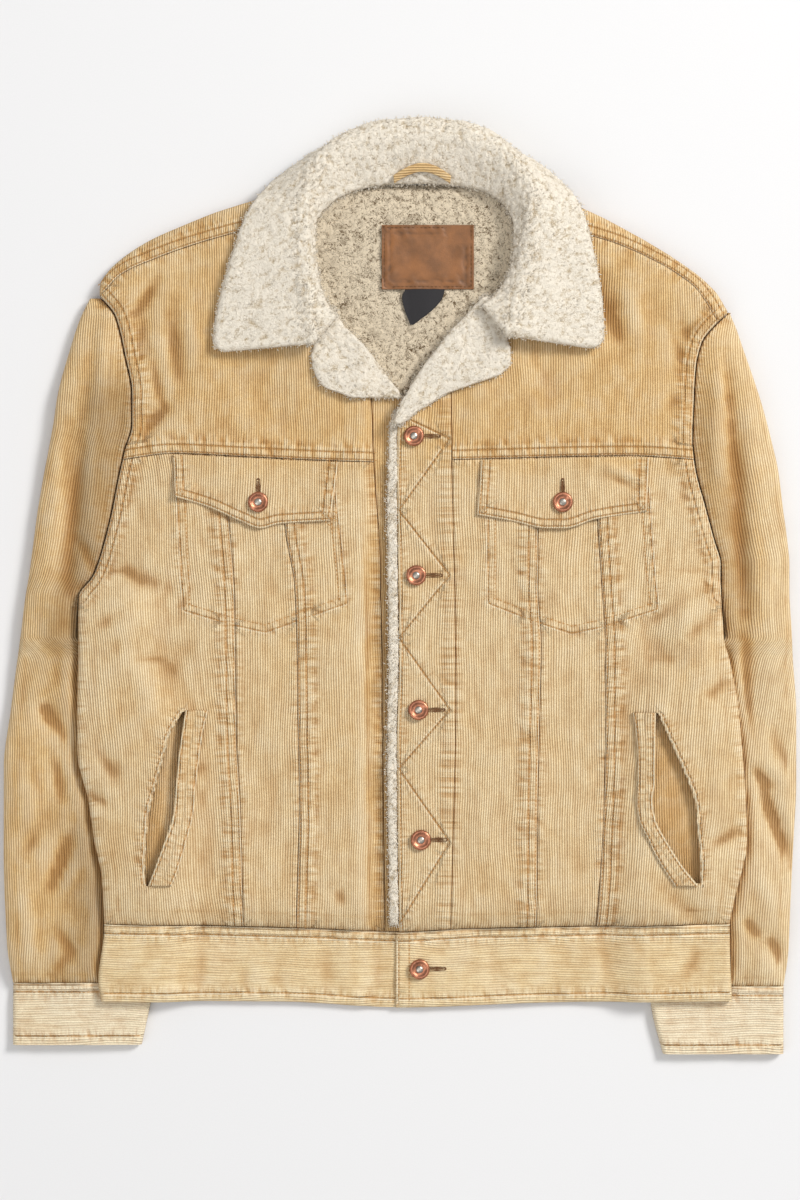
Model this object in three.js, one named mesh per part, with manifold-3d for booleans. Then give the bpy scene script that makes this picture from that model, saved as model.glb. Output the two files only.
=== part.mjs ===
// A sherpa lined corduroy trucker jacket, buttoned up and laid flat with its front upwards.
// Millimetres. +X is the wearer's left, +Y runs to the collar, +Z is up from the surface it lies on.
import * as THREE from "three";
import { mergeVertices } from "three/addons/utils/BufferGeometryUtils.js";
import Module from "manifold-3d";

const wasm = await Module();
wasm.setup();

// Driving sizes
const GAP = 0.3;
const LOFT = 22; // the body's full height: two walls of corduroy with sherpa pile behind it
const BACK_WALL = 9;
const EDGE_SHARE = 0.4; // how much of the loft is left at an outer seam
const ARMHOLE_SHARE = 0.72; // and at an armhole, where the sleeve carries on
const ARMPIT = -5;
const ARMPIT_FADE = 50;
const LAP_SHARE = 0.62; // where the right front ends and the left front lies on it
const SIDE_ROUND = 40;
const HEM_ROUND = 30;
const EDGE_HEIGHT = LOFT * EDGE_SHARE;
const FRONT_ROWS = 12;
const YOKE_CELLS = 10;
const SLEEVE_ROWS = 20;
const SHOULDER_ROUND = 42;
const EDGE_TUCK = 1.5; // the fold at a side stands this far off what it lies on
const TUCK_WIDTH = 14;
const SLEEVE_LOFT = 19;
const SLEEVE_ROUND = 26;
const SLEEVE_SPLIT = 0.42; // the under sleeve's share of the sleeve's height
const SLEEVE_FOLD_LIFT = 3;
const LIFT_SLOPE = 40; // the body comes down from a sleeve to the surface over this width
const LIFT_SOAK = 0.4; // the pile takes up this share of the lift
const BAG_THICKNESS = 1.4;
const BAG_MARGIN = 13;
const FLAP_THICKNESS = 3;
const WELT_THICKNESS = 2.6;
const LAPEL_THICKNESS = 7;
const LINING_THICKNESS = 5;
const COLLAR_THICKNESS = 8;
const ROLL_REACH = 7;
const LAID_ON = 0.6; // the gap under a piece that lies on a panel
const LOOP_THICKNESS = 2.4;
const BUTTON_RADIUS = 8.7;
const BUTTON_FACETS = 12;
const BACK_YOKE_SEAM = 172;
const REACH = 3; // a room that cuts another piece goes this far past its own plan
const SUNK = 6; // a piece starts this far down before it is cut to what it lies on
const FAR = 90;
const UNDER_PLACKET_EDGE = 40; // the right placket ends here, under the left one
const LAP_START = -44;
const LAP_WIDTH = 22;
const LEFT_STEP = 44;
const LEFT_STEP_WIDTH = 12;
const SHOULDER_SINK = 0.8; // the yoke's shoulders are fused this deep into its back
const SLEEVE_HIDDEN_TOP = -62; // from here down the sleeves lie under the body
const RIGHT_PLACKET_TOP = 166;
const LEFT_PLACKET_TOP = 176;
const LEFT_BAND_START = -4;
const PILE_EDGE_DROP = 1; // the pile along the left front's edge stops this far below its top
const FOLD_TAPER = 0.12; // how far into its sine a fold starts and ends
const BODY_FOLD_ONSET = 3; // how fast folds set in away from an edge
const SLEEVE_FOLD_ONSET = 2;
const CROWDING = 1.7; // how much a row of shares is drawn to one end
const PASSES = 40; // steps that settle a plan point between its four edges, which move it
const PASS_X = 0.5; // by these shares of the way
const PASS_Y = 0.8;
const COLLAR_CELLS = 28;
const COLLAR_SHARES = [0, 0.14, 0.25, 0.36, 0.45, 0.53, 0.62, 0.74, 0.87, 1];
const COLLAR_STEP = 0.02; // the step that measures the collar's slope
const ROLL_DROP = 1.5; // how far the collar has dropped ROLL_REACH away from its roll
const LOOP_CELLS = 8;

const FINISHES = {
  corduroy: { color: 0xc19a5e, roughness: 0.9, metalness: 0 },
  sherpa: { color: 0xdcd2c0, roughness: 1, metalness: 0 },
  patch: { color: 0x8a5230, roughness: 0.7, metalness: 0 },
  care_label: { color: 0x1d1f22, roughness: 0.6, metalness: 0 },
  copper: { color: 0xb06a48, roughness: 0.35, metalness: 1 },
};

// Armholes and side seams, from the shoulder's tip to the waistband's hem
const RIGHT_EDGE = [
  { y: 252, x: -260 },
  { y: 234, x: -246 },
  { y: 201, x: -238 },
  { y: 167, x: -232 },
  { y: 141, x: -232 },
  { y: 119, x: -238 },
  { y: 93, x: -244 },
  { y: 63, x: -250 },
  { y: 32, x: -258 },
  { y: 10, x: -266 },
  { y: -8, x: -278 },
  { y: -50, x: -278 },
  { y: -101, x: -279 },
  { y: -140, x: -279 },
  { y: -187, x: -269 },
  { y: -221, x: -264 },
  { y: -250, x: -258 },
  { y: -296, x: -256 },
  { y: -340, x: -261 },
  { y: -359, x: -258 },
];
const LEFT_EDGE = [
  { y: 237, x: 284 },
  { y: 227, x: 273 },
  { y: 211, x: 261 },
  { y: 189, x: 256 },
  { y: 155, x: 254 },
  { y: 128, x: 253 },
  { y: 102, x: 256 },
  { y: 71, x: 264 },
  { y: 41, x: 272 },
  { y: 19, x: 278 },
  { y: -3, x: 278 },
  { y: -46, x: 280 },
  { y: -60, x: 284 },
  { y: -101, x: 292 },
  { y: -132, x: 295 },
  { y: -187, x: 299 },
  { y: -221, x: 300 },
  { y: -243, x: 296 },
  { y: -271, x: 289 },
  { y: -296, x: 285 },
  { y: -359, x: 287 },
];
// The top of the garment over the shoulders and across the back of the neck
const TOP_LINE = [
  { x: -266, y: 256 },
  { x: -249, y: 278 },
  { x: -220, y: 299 },
  { x: -190, y: 313 },
  { x: -157, y: 326 },
  { x: -96, y: 343 },
  { x: -61, y: 348 },
  { x: 17, y: 345 },
  { x: 91, y: 348 },
  { x: 126, y: 341 },
  { x: 171, y: 323 },
  { x: 196, y: 310 },
  { x: 238, y: 285 },
  { x: 272, y: 258 },
  { x: 285, y: 238 },
];
const SHOULDER_SEAM = [
  { x: -257, y: 254 },
  { x: -241, y: 270 },
  { x: -220, y: 280 },
  { x: -170, y: 298 },
  { x: -110, y: 313 },
  { x: -80, y: 318 },
  { x: 100, y: 316 },
  { x: 130, y: 311 },
  { x: 179, y: 299 },
  { x: 219, y: 282 },
  { x: 251, y: 262 },
  { x: 263, y: 248 },
  { x: 273, y: 231 },
];
const YOKE_SEAM = [
  { x: -240, y: 110 },
  { x: -196, y: 115 },
  { x: -130, y: 112 },
  { x: -24, y: 108 },
  { x: 60, y: 110 },
  { x: 200, y: 113 },
  { x: 253, y: 110 },
];
const BAND_SEAM = [
  { x: -257, y: -291 },
  { x: -178, y: -293 },
  { x: -69, y: -296 },
  { x: 0, y: -299 },
  { x: 60, y: -296 },
  { x: 160, y: -294 },
  { x: 285, y: -291 },
];
const HEM = [
  { x: -258, y: -359 },
  { x: -105, y: -360 },
  { x: 0, y: -365 },
  { x: 123, y: -361 },
  { x: 287, y: -358 },
];
// The front edges: the right one carries its placket below the lapel, the left one shows
const RIGHT_FRONT_EDGE = [
  { y: 318, x: -82 },
  { y: 290, x: -80 },
  { y: 260, x: -72 },
  { y: 241, x: -64 },
  { y: 222, x: -46 },
  { y: 200, x: -31 },
  { y: 163, x: -25 },
  { y: 110, x: -23 },
  { y: 20, x: -17 },
  { y: -292, x: -13 },
];
const LEFT_FRONT_EDGE = [
  { y: 176, x: 10 },
  { y: 158, x: 3 },
  { y: 143, x: -2 },
  { y: 100, x: -3 },
  { y: -59, x: -1 },
  { y: -132, x: -3 },
  { y: -300, x: -1 },
];
const LEFT_YOKE_EDGE = [
  { y: 316, x: 101 },
  { y: 290, x: 98 },
  { y: 258, x: 89 },
  { y: 240, x: 69 },
  { y: 217, x: 50 },
  { y: 190, x: 44.3 },
  { y: 176, x: 44 },
  { y: 110, x: 44.9 },
];
const PLACKET_SEAM = [
  { y: 176, x: 44 },
  { y: 88, x: 45 },
  { y: -20, x: 47.4 },
  { y: -114, x: 47.8 },
  { y: -200, x: 46 },
  { y: -298, x: 43.6 },
];
const UNDER_PLACKET_END = [
  { y: 166, x: 5 },
  { y: 156, x: 18 },
  { y: 140, x: UNDER_PLACKET_EDGE },
  { y: -298, x: UNDER_PLACKET_EDGE },
];
// The two long seams of each front
const FRONT_SEAMS = [
  { y: 114, rightOuter: -151, rightInner: -102, leftInner: 118, leftOuter: 169 },
  { y: 51, rightOuter: -147, rightInner: -99, leftInner: 119, leftOuter: 171 },
  { y: 0, rightOuter: -143, rightInner: -91, leftInner: 119, leftOuter: 174 },
  { y: -50, rightOuter: -142, rightInner: -89, leftInner: 122, leftOuter: 177 },
  { y: -130, rightOuter: -141, rightInner: -88, leftInner: 120, leftOuter: 177 },
  { y: -184, rightOuter: -138, rightInner: -87, leftInner: 119, leftOuter: 176 },
  { y: -296, rightOuter: -135, rightInner: -90, leftInner: 118, leftOuter: 170 },
];
// The sleeves' outer folds, and the inner edges that run under the body below the armholes
const RIGHT_SLEEVE = [
  { y: 250, outer: -269, inner: -260.5 },
  { y: 234, outer: -277, inner: -247.5 },
  { y: 204, outer: -287, inner: -239.8 },
  { y: 167, outer: -297, inner: -233 },
  { y: 141, outer: -301, inner: -233 },
  { y: 119, outer: -305, inner: -239.2 },
  { y: 93, outer: -310, inner: -245.2 },
  { y: 63, outer: -315, inner: -251.2 },
  { y: 32, outer: -319, inner: -260 },
  { y: 10, outer: -322, inner: -270 },
  { y: -8, outer: -325, inner: -281.5 },
  { y: -40, outer: -329, inner: -281 },
  { y: -62, outer: -332, inner: -240 },
  { y: -107, outer: -338, inner: -214 },
  { y: -157, outer: -344, inner: -205 },
  { y: -226, outer: -344, inner: -202 },
  { y: -310, outer: -341, inner: -207 },
  { y: -343, outer: -336, inner: -212 },
];
const LEFT_SLEEVE = [
  { y: 231, outer: 289, inner: 279 },
  { y: 224, outer: 292, inner: 271.5 },
  { y: 209, outer: 297, inner: 261.5 },
  { y: 189, outer: 304, inner: 257 },
  { y: 155, outer: 315, inner: 255 },
  { y: 128, outer: 322, inner: 254 },
  { y: 102, outer: 328, inner: 257 },
  { y: 71, outer: 332, inner: 265.2 },
  { y: 41, outer: 336, inner: 274 },
  { y: 19, outer: 338, inner: 281 },
  { y: -3, outer: 338, inner: 282 },
  { y: -40, outer: 340, inner: 283 },
  { y: -62, outer: 341, inner: 250 },
  { y: -110, outer: 344, inner: 228 },
  { y: -171, outer: 344, inner: 216 },
  { y: -212, outer: 342, inner: 213 },
  { y: -271, outer: 339, inner: 213 },
  { y: -318, outer: 337, inner: 214 },
  { y: -346, outer: 333, inner: 215 },
];
const RIGHT_CUFF = [
  { y: -343, outer: -336, inner: -212 },
  { y: -360, outer: -336, inner: -216 },
  { y: -397, outer: -336, inner: -224 },
];
const LEFT_CUFF = [
  { y: -346, outer: 333, inner: 216 },
  { y: -365, outer: 333, inner: 218 },
  { y: -405, outer: 333, inner: 228 },
];
// How high the body rides on the sleeves under it
const BODY_LIFT = [
  { y: 14, rise: 0 },
  { y: -34, rise: 13 },
  { y: -250, rise: 13 },
  { y: -300, rise: 11 },
  { y: -370, rise: 11 },
];
// Folds: a ridge, or with a negative rise a trough, from one end to the other
const SLEEVE_FOLDS = [
  { fromX: -258, fromY: 232, toX: -266, toY: 20, width: 12, rise: 6 },
  { fromX: -285, fromY: 140, toX: -288, toY: -30, width: 9, rise: -5 },
  { fromX: -306, fromY: -95, toX: -288, toY: -135, width: 8, rise: -4 },
  { fromX: -281, fromY: -205, toX: -303, toY: -256, width: 9, rise: -4 },
  { fromX: -281, fromY: -308, toX: -298, toY: -334, width: 8, rise: -4 },
  { fromX: 276, fromY: 205, toX: 283, toY: 95, width: 11, rise: 5 },
  { fromX: 284, fromY: 160, toX: 297, toY: -20, width: 9, rise: -6 },
  { fromX: 311, fromY: -168, toX: 336, toY: -240, width: 9, rise: -4 },
  { fromX: 318, fromY: -300, toX: 331, toY: -328, width: 8, rise: -3 },
];
const BODY_FOLDS = [
  { fromX: -216, fromY: 262, toX: -228, toY: 188, width: 9, rise: -4 },
  { fromX: -197, fromY: 232, toX: -190, toY: 172, width: 9, rise: -4 },
  { fromX: -228, fromY: 128, toX: -196, toY: 160, width: 9, rise: -3 },
  { fromX: 178, fromY: 268, toX: 190, toY: 205, width: 10, rise: -4 },
  { fromX: 238, fromY: 222, toX: 246, toY: 180, width: 9, rise: -4 },
  { fromX: -250, fromY: 20, toX: -205, toY: 0, width: 10, rise: -3 },
  { fromX: 262, fromY: 0, toX: 215, toY: -30, width: 10, rise: -3 },
];
// Chest flaps: the pointed lower edge
const RIGHT_FLAP = [
  { x: -196, y: 78 },
  { x: -164, y: 68 },
  { x: -137, y: 56 },
  { x: -120, y: 50 },
  { x: -104, y: 54 },
  { x: -51, y: 57 },
];
const LEFT_FLAP = [
  { x: 65, y: 62 },
  { x: 98, y: 56 },
  { x: 126, y: 50 },
  { x: 142, y: 50 },
  { x: 169, y: 58 },
  { x: 215, y: 65 },
];
const FLAP_SIDES = [
  { y: 113, right: -196, left: -52, leftFlapRight: 70, leftFlapLeft: 215 },
  { y: 48, right: -192, left: -61, leftFlapRight: 65, leftFlapLeft: 212 },
];
// Hand pockets: the welt's sewn side, its free edge at the mouth, and the mouth's far edge
const RIGHT_POCKET = [
  { y: -106, sewn: -165, free: -185, far: -186.5 },
  { y: -127, sewn: -170, free: -188, far: -198 },
  { y: -150, sewn: -173, free: -191, far: -204 },
  { y: -176, sewn: -176, free: -193, far: -211 },
  { y: -197, sewn: -178, free: -195, far: -216 },
  { y: -221, sewn: -184, free: -203, far: -218 },
  { y: -245, sewn: -191, free: -212, far: -219 },
  { y: -257, sewn: -196, free: -216.5, far: -218 },
];
const LEFT_POCKET = [
  { y: -108, sewn: 200, free: 220, far: 221.5 },
  { y: -130, sewn: 203, free: 219.5, far: 231 },
  { y: -150, sewn: 204, free: 219, far: 240 },
  { y: -166, sewn: 204, free: 219, far: 247 },
  { y: -184, sewn: 203, free: 217, far: 253 },
  { y: -200, sewn: 205, free: 219.5, far: 255 },
  { y: -215, sewn: 212, free: 227, far: 256 },
  { y: -239, sewn: 224, free: 242, far: 258 },
  { y: -257, sewn: 236, free: 256.5, far: 258 },
];
// Lapels: the fronts' top corners turned out, sherpa side up
const RIGHT_LAPEL = [
  { y: 226, inner: -52, outer: -70 },
  { y: 212, inner: -38, outer: -73 },
  { y: 199, inner: -27, outer: -76 },
  { y: 186, inner: -17, outer: -74 },
  { y: 174, inner: -8, outer: -68 },
  { y: 163, inner: 0, outer: -42 },
];
const LEFT_LAPEL = [
  { y: 236, inner: 62, outer: 84 },
  { y: 217, inner: 44, outer: 91 },
  { y: 205, inner: 35, outer: 95 },
  { y: 194, inner: 26, outer: 95 },
  { y: 184, inner: 19, outer: 88 },
  { y: 174, inner: 13, outer: 62 },
  { y: 166, inner: 9, outer: 40 },
  { y: 158, inner: 4, outer: 27 },
  { y: 150, inner: 0.5, outer: 14 },
  { y: 140, inner: -4, outer: 2 },
];
// The pile that stands out along the left front's edge
const PILE_EDGE = [
  { y: 139, inner: -12, outer: -3.2 },
  { y: 60, inner: -13, outer: -3.6 },
  { y: -59, inner: -11, outer: -1.9 },
  { y: -132, inner: -13, outer: -3.5 },
  { y: -292, inner: -9, outer: -1.9 },
];
// What shows of the lining through the neck
const NECK_LINING = [
  { y: 341, right: -34, left: 66 },
  { y: 330, right: -55, left: 80 },
  { y: 312, right: -72, left: 92 },
  { y: 290, right: -78, left: 96 },
  { y: 260, right: -70, left: 86 },
  { y: 241, right: -61, left: 66 },
  { y: 222, right: -43, left: 48 },
  { y: 200, right: -26, left: 38 },
  { y: 184, right: -15, left: 25 },
  { y: 178, right: -10, left: 17 },
];
// The collar, from the right notch round the back to the left notch: neck seam, roll, outer edge
const COLLAR = [
  {
    neckX: -54, neckY: 231, neckZ: 35, rollX: -74, rollY: 208, rollZ: 40,
    tuck: 0, edgeX: -163, edgeY: 201, edgeZ: 28,
  },
  {
    neckX: -67, neckY: 252, neckZ: 31, rollX: -80, rollY: 242, rollZ: 39,
    tuck: 0, edgeX: -157, edgeY: 240, edgeZ: 28,
  },
  {
    neckX: -74, neckY: 279, neckZ: 29, rollX: -84, rollY: 285, rollZ: 38,
    tuck: 0, edgeX: -146, edgeY: 281, edgeZ: 28,
  },
  {
    neckX: -75, neckY: 308, neckZ: 26, rollX: -83, rollY: 331, rollZ: 37,
    tuck: 0, edgeX: -130, edgeY: 324, edgeZ: 24,
  },
  {
    neckX: -60, neckY: 331, neckZ: 21, rollX: -69, rollY: 364, rollZ: 35,
    tuck: 3, edgeX: -99, edgeY: 356, edgeZ: 13,
  },
  {
    neckX: -34, neckY: 344, neckZ: 16, rollX: -43, rollY: 390, rollZ: 32,
    tuck: 16, edgeX: -62, edgeY: 373, edgeZ: 5,
  },
  {
    neckX: -9, neckY: 348, neckZ: 14, rollX: -14, rollY: 399, rollZ: 31,
    tuck: 19, edgeX: -22, edgeY: 369, edgeZ: 4.5,
  },
  {
    neckX: 17, neckY: 349, neckZ: 14, rollX: 17, rollY: 401, rollZ: 31,
    tuck: 19, edgeX: 17, edgeY: 368, edgeZ: 4.5,
  },
  {
    neckX: 42, neckY: 348, neckZ: 14, rollX: 48, rollY: 399, rollZ: 31,
    tuck: 19, edgeX: 56, edgeY: 369, edgeZ: 4.5,
  },
  {
    neckX: 66, neckY: 344, neckZ: 16, rollX: 77, rollY: 389, rollZ: 32,
    tuck: 16, edgeX: 97, edgeY: 372, edgeZ: 5,
  },
  {
    neckX: 88, neckY: 332, neckZ: 21, rollX: 101, rollY: 364, rollZ: 35,
    tuck: 3, edgeX: 133, edgeY: 353, edgeZ: 13,
  },
  {
    neckX: 99, neckY: 309, neckZ: 26, rollX: 114, rollY: 333, rollZ: 37,
    tuck: 0, edgeX: 156, edgeY: 325, edgeZ: 24,
  },
  {
    neckX: 98, neckY: 283, neckZ: 29, rollX: 112, rollY: 290, rollZ: 38,
    tuck: 0, edgeX: 167, edgeY: 285, edgeZ: 28,
  },
  {
    neckX: 88, neckY: 258, neckZ: 31, rollX: 102, rollY: 250, rollZ: 39,
    tuck: 0, edgeX: 174, edgeY: 244, edgeZ: 28,
  },
  {
    neckX: 70, neckY: 241, neckZ: 35, rollX: 91, rollY: 215, rollZ: 40,
    tuck: 0, edgeX: 176, edgeY: 203, edgeZ: 28,
  },
];
const PATCH = { x: 24, y: 285, width: 80, height: 56, thickness: 1.4 };
const CARE_LABEL = { x: 22, y: 241, width: 30, height: 26, thickness: 0.8 };
// The hanger loop: stations round the neck, then shares of the way from neck seam to collar edge
const LOOP = { from: 6.15, to: 8.05, along: 0.035, bow: 0.045, width: 0.048 };
const BUTTON_PROFILE = [
  { radius: 0, height: 0 },
  { radius: 4, height: 0 },
  { radius: 4, height: 1.6 },
  { radius: BUTTON_RADIUS, height: 2 },
  { radius: BUTTON_RADIUS, height: 3.6 },
  { radius: 7, height: 4.6 },
  { radius: 4.2, height: 3.4 },
  { radius: 3.2, height: 5 },
  { radius: 0, height: 5.2 },
];
const BUTTONS = [
  { name: "button_1", x: 12, y: 130, on: "front" },
  { name: "button_2", x: 14, y: 10, on: "front" },
  { name: "button_3", x: 16, y: -106, on: "front" },
  { name: "button_4", x: 18, y: -218, on: "front" },
  { name: "button_band", x: 17, y: -331, on: "front" },
  { name: "button_flap_right", x: -122, y: 73, on: "flap" },
  { name: "button_flap_left", x: 140, y: 73, on: "flap" },
];

const clamp01 = (t) => Math.min(1, Math.max(0, t));
const mix = (a, b, t) => a + (b - a) * t;
const smooth = (t) => clamp01(t) ** 2 * (3 - 2 * clamp01(t));
const quarterRound = (t) => Math.sqrt(1 - (1 - clamp01(t)) ** 2);

// Column `value` of a table as a smooth function of column `at`, level past both ends.
function curve(rows, at, value) {
  const sorted = [...rows].sort((p, q) => p[at] - q[at]);
  const a = sorted.map((row) => row[at]);
  const v = sorted.map((row) => row[value]);
  const last = a.length - 1;
  const slope = a.slice(1).map((next, i) => (v[i + 1] - v[i]) / (next - a[i]));
  const tangent = a.map((_, i) => {
    if (i === 0) return slope[0];
    if (i === last) return slope[last - 1];
    const product = slope[i - 1] * slope[i];
    return product <= 0 ? 0 : (2 * product) / (slope[i - 1] + slope[i]);
  });
  return (q) => {
    if (q <= a[0]) return v[0];
    if (q >= a[last]) return v[last];
    let i = 0;
    while (q > a[i + 1]) i += 1;
    const step = a[i + 1] - a[i];
    const t = (q - a[i]) / step;
    return (
      v[i] * (1 + 2 * t) * (1 - t) ** 2 +
      tangent[i] * step * t * (1 - t) ** 2 +
      v[i + 1] * t * t * (3 - 2 * t) +
      tangent[i + 1] * step * t * t * (t - 1)
    );
  };
}

const rightEdge = curve(RIGHT_EDGE, "y", "x");
const leftEdge = curve(LEFT_EDGE, "y", "x");
const topLine = curve(TOP_LINE, "x", "y");
const shoulderSeam = curve(SHOULDER_SEAM, "x", "y");
const yokeSeam = curve(YOKE_SEAM, "x", "y");
const bandSeam = curve(BAND_SEAM, "x", "y");
const hem = curve(HEM, "x", "y");
const rightFrontEdge = curve(RIGHT_FRONT_EDGE, "y", "x");
const leftFrontEdge = curve(LEFT_FRONT_EDGE, "y", "x");
const leftYokeEdge = curve(LEFT_YOKE_EDGE, "y", "x");
const placketSeam = curve(PLACKET_SEAM, "y", "x");
const frontSeam = (column) => curve(FRONT_SEAMS, "y", column);
const bodyRise = curve(BODY_LIFT, "y", "rise");
const SIDES = {
  right: sideOf(-1, RIGHT_SLEEVE, RIGHT_CUFF, rightEdge),
  left: sideOf(1, LEFT_SLEEVE, LEFT_CUFF, leftEdge),
};

function sideOf(sign, sleeveRows, cuffRows, edge) {
  return {
    sign,
    edge,
    outer: curve(sleeveRows, "y", "outer"),
    inner: curve(sleeveRows, "y", "inner"),
    top: sleeveRows[0].y,
    cuffTop: cuffRows[0].y,
    cuffEnd: cuffRows.at(-1).y,
    cuffOuter: curve(cuffRows, "y", "outer"),
    cuffInner: curve(cuffRows, "y", "inner"),
  };
}

// How far the folds of a table raise the surface at a point.
function foldRise(folds, x, y) {
  return folds.reduce((sum, fold) => {
    const alongX = fold.toX - fold.fromX;
    const alongY = fold.toY - fold.fromY;
    const length = Math.hypot(alongX, alongY);
    const t = ((x - fold.fromX) * alongX + (y - fold.fromY) * alongY) / length ** 2;
    const nearest = clamp01(t);
    const off = Math.hypot(
      x - fold.fromX - nearest * alongX,
      y - fold.fromY - nearest * alongY,
    );
    const taper = Math.sin(Math.PI * mix(FOLD_TAPER, 1 - FOLD_TAPER, nearest));
    return sum + fold.rise * taper * Math.exp(-((off / fold.width) ** 2));
  }, 0);
}

// The body's heights. Each is a function of the place in plan.
function lift(x, y) {
  return Math.max(
    ...Object.values(SIDES).map(({ sign, inner }) => {
      const hidden = inner(Math.min(y, SLEEVE_HIDDEN_TOP));
      return bodyRise(y) * smooth((sign * (x - hidden) + LIFT_SLOPE) / LIFT_SLOPE);
    }),
  );
}

function sideDistance(x, y) {
  return Math.min(x - rightEdge(y), leftEdge(y) - x);
}

const sideShare = (y) => mix(EDGE_SHARE, ARMHOLE_SHARE, smooth((y - ARMPIT) / ARMPIT_FADE));

function fullness(x, y) {
  const atSide = (sideShare(y) - EDGE_SHARE) / (1 - EDGE_SHARE);
  const side = mix(atSide, 1, quarterRound(sideDistance(x, y) / SIDE_ROUND));
  const low = quarterRound((y - bandSeam(x)) / HEM_ROUND);
  const high = quarterRound((topLine(x) - y) / SHOULDER_ROUND);
  return EDGE_SHARE + (1 - EDGE_SHARE) * side * low * high;
}

function bodyUnder(x, y) {
  const tuck = 1 - quarterRound(sideDistance(x, y) / TUCK_WIDTH);
  return lift(x, y) + EDGE_TUCK * tuck;
}

const backTop = (x, y) => lift(x, y) + BACK_WALL * fullness(x, y);
const lapTop = (x, y) => lift(x, y) + LOFT * LAP_SHARE * fullness(x, y);

function frontTop(x, y) {
  const full = fullness(x, y);
  const soaked = lift(x, y) * (1 - LIFT_SOAK * (full - EDGE_SHARE));
  const fold = foldRise(BODY_FOLDS, x, y) * smooth((full - EDGE_SHARE) * BODY_FOLD_ONSET);
  return soaked + LOFT * full + fold;
}

// The right front comes down to the lap, and the left front steps up over it.
const rightTop = (x, y) =>
  mix(frontTop(x, y), lapTop(x, y), smooth((x - LAP_START) / LAP_WIDTH));
const leftLow = (x, y) =>
  mix(lapTop(x, y), backTop(x, y), smooth((x - LEFT_STEP) / LEFT_STEP_WIDTH));

// A sleeve's heights: it rounds off at its folds and is pressed down where the body lies on it.
function sleeveUnder(side, x, y) {
  const fromOuter = side.sign * (side.outer(y) - x);
  return SLEEVE_FOLD_LIFT * (1 - quarterRound(fromOuter / SLEEVE_ROUND));
}

function sleeveFree(side, x, y) {
  const { sign, outer, inner, cuffTop, top } = side;
  const atArmhole = (LOFT * sideShare(y) - EDGE_HEIGHT) / (SLEEVE_LOFT - EDGE_HEIGHT);
  const round =
    quarterRound((sign * (outer(y) - x)) / SLEEVE_ROUND) *
    mix(atArmhole, 1, quarterRound((sign * (x - inner(y))) / SLEEVE_ROUND)) *
    quarterRound((y - cuffTop) / HEM_ROUND) *
    quarterRound((top - y) / SHOULDER_ROUND);
  const fold = foldRise(SLEEVE_FOLDS, x, y) * smooth(SLEEVE_FOLD_ONSET * round);
  return EDGE_HEIGHT + (SLEEVE_LOFT - EDGE_HEIGHT) * round + fold;
}

// Where the body lies on the sleeve, the sleeve has the height under the body.
function sleeveTop(side, x, y) {
  const { sign, inner, edge } = side;
  const free = sleeveFree(side, x, y);
  const covered = inner(y) * sign < edge(y) * sign && sign * (x - edge(y)) < 0;
  return covered ? Math.min(free, lift(x, y)) : free;
}

function sleeveSplit(side, x, y) {
  const under = sleeveUnder(side, x, y);
  return under + SLEEVE_SPLIT * (sleeveTop(side, x, y) - under);
}

// Shares from 0 to 1 in equal steps, drawn towards 0 or 1 where the form rounds off.
function shares(count, crowd = "none") {
  const even = Array.from({ length: count + 1 }, (_, i) => i / count);
  if (crowd === "start") return even.map((t) => t ** CROWDING);
  if (crowd === "end") return even.map((t) => 1 - (1 - t) ** CROWDING);
  if (crowd === "both") return even.map((t) => (1 - Math.cos(Math.PI * t)) / 2);
  return even;
}

// Plan points between a right and a left edge, x(y), and a top and a bottom one, y(x).
function planGrid({ right, left, top, bottom, across, down }) {
  return down.map((v) =>
    across.map((u) => {
      let x = 0;
      let y = mix(top(0), bottom(0), v);
      for (let pass = 0; pass < PASSES; pass += 1) {
        x = mix(x, mix(right(y) + GAP / 2, left(y) - GAP / 2, u), PASS_X);
        y = mix(y, mix(top(x) - GAP / 2, bottom(x) + GAP / 2, v), PASS_Y);
      }
      return [x, y];
    }),
  );
}

const raised = (plan, height) => plan.map((row) => row.map(([x, y]) => [x, y, height(x, y)]));

// One closed wall between an upper and a lower grid of points.
function wall(upper, lower) {
  const rows = upper.length;
  const columns = upper[0].length;
  const positions = [...upper.flat(), ...lower.flat()].flat();
  const at = (r, c, below = 0) => below * rows * columns + r * columns + c;
  const faces = [];
  const quad = (a, b, c, d) => faces.push(a, b, c, a, c, d);
  for (let r = 0; r < rows - 1; r += 1) {
    for (let c = 0; c < columns - 1; c += 1) {
      quad(at(r, c), at(r + 1, c), at(r + 1, c + 1), at(r, c + 1));
      quad(at(r, c, 1), at(r, c + 1, 1), at(r + 1, c + 1, 1), at(r + 1, c, 1));
    }
  }
  for (let c = 0; c < columns - 1; c += 1) {
    quad(at(0, c), at(0, c + 1), at(0, c + 1, 1), at(0, c, 1));
    quad(at(rows - 1, c + 1), at(rows - 1, c), at(rows - 1, c, 1), at(rows - 1, c + 1, 1));
  }
  for (let r = 0; r < rows - 1; r += 1) {
    quad(at(r + 1, 0), at(r, 0), at(r, 0, 1), at(r + 1, 0, 1));
    quad(at(r, columns - 1), at(r + 1, columns - 1), at(r + 1, columns - 1, 1), at(r, columns - 1, 1));
  }
  const geometry = new THREE.BufferGeometry();
  geometry.setAttribute("position", new THREE.Float32BufferAttribute(positions, 3));
  geometry.setIndex(faces);
  return geometry;
}

function solidOf(geometry) {
  const bare = geometry.clone();
  bare.deleteAttribute("normal");
  bare.deleteAttribute("uv");
  const merged = mergeVertices(bare);
  return new wasm.Manifold(
    new wasm.Mesh({
      numProp: 3,
      vertProperties: merged.attributes.position.array,
      triVerts: new Uint32Array(merged.index.array),
    }),
  );
}

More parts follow.
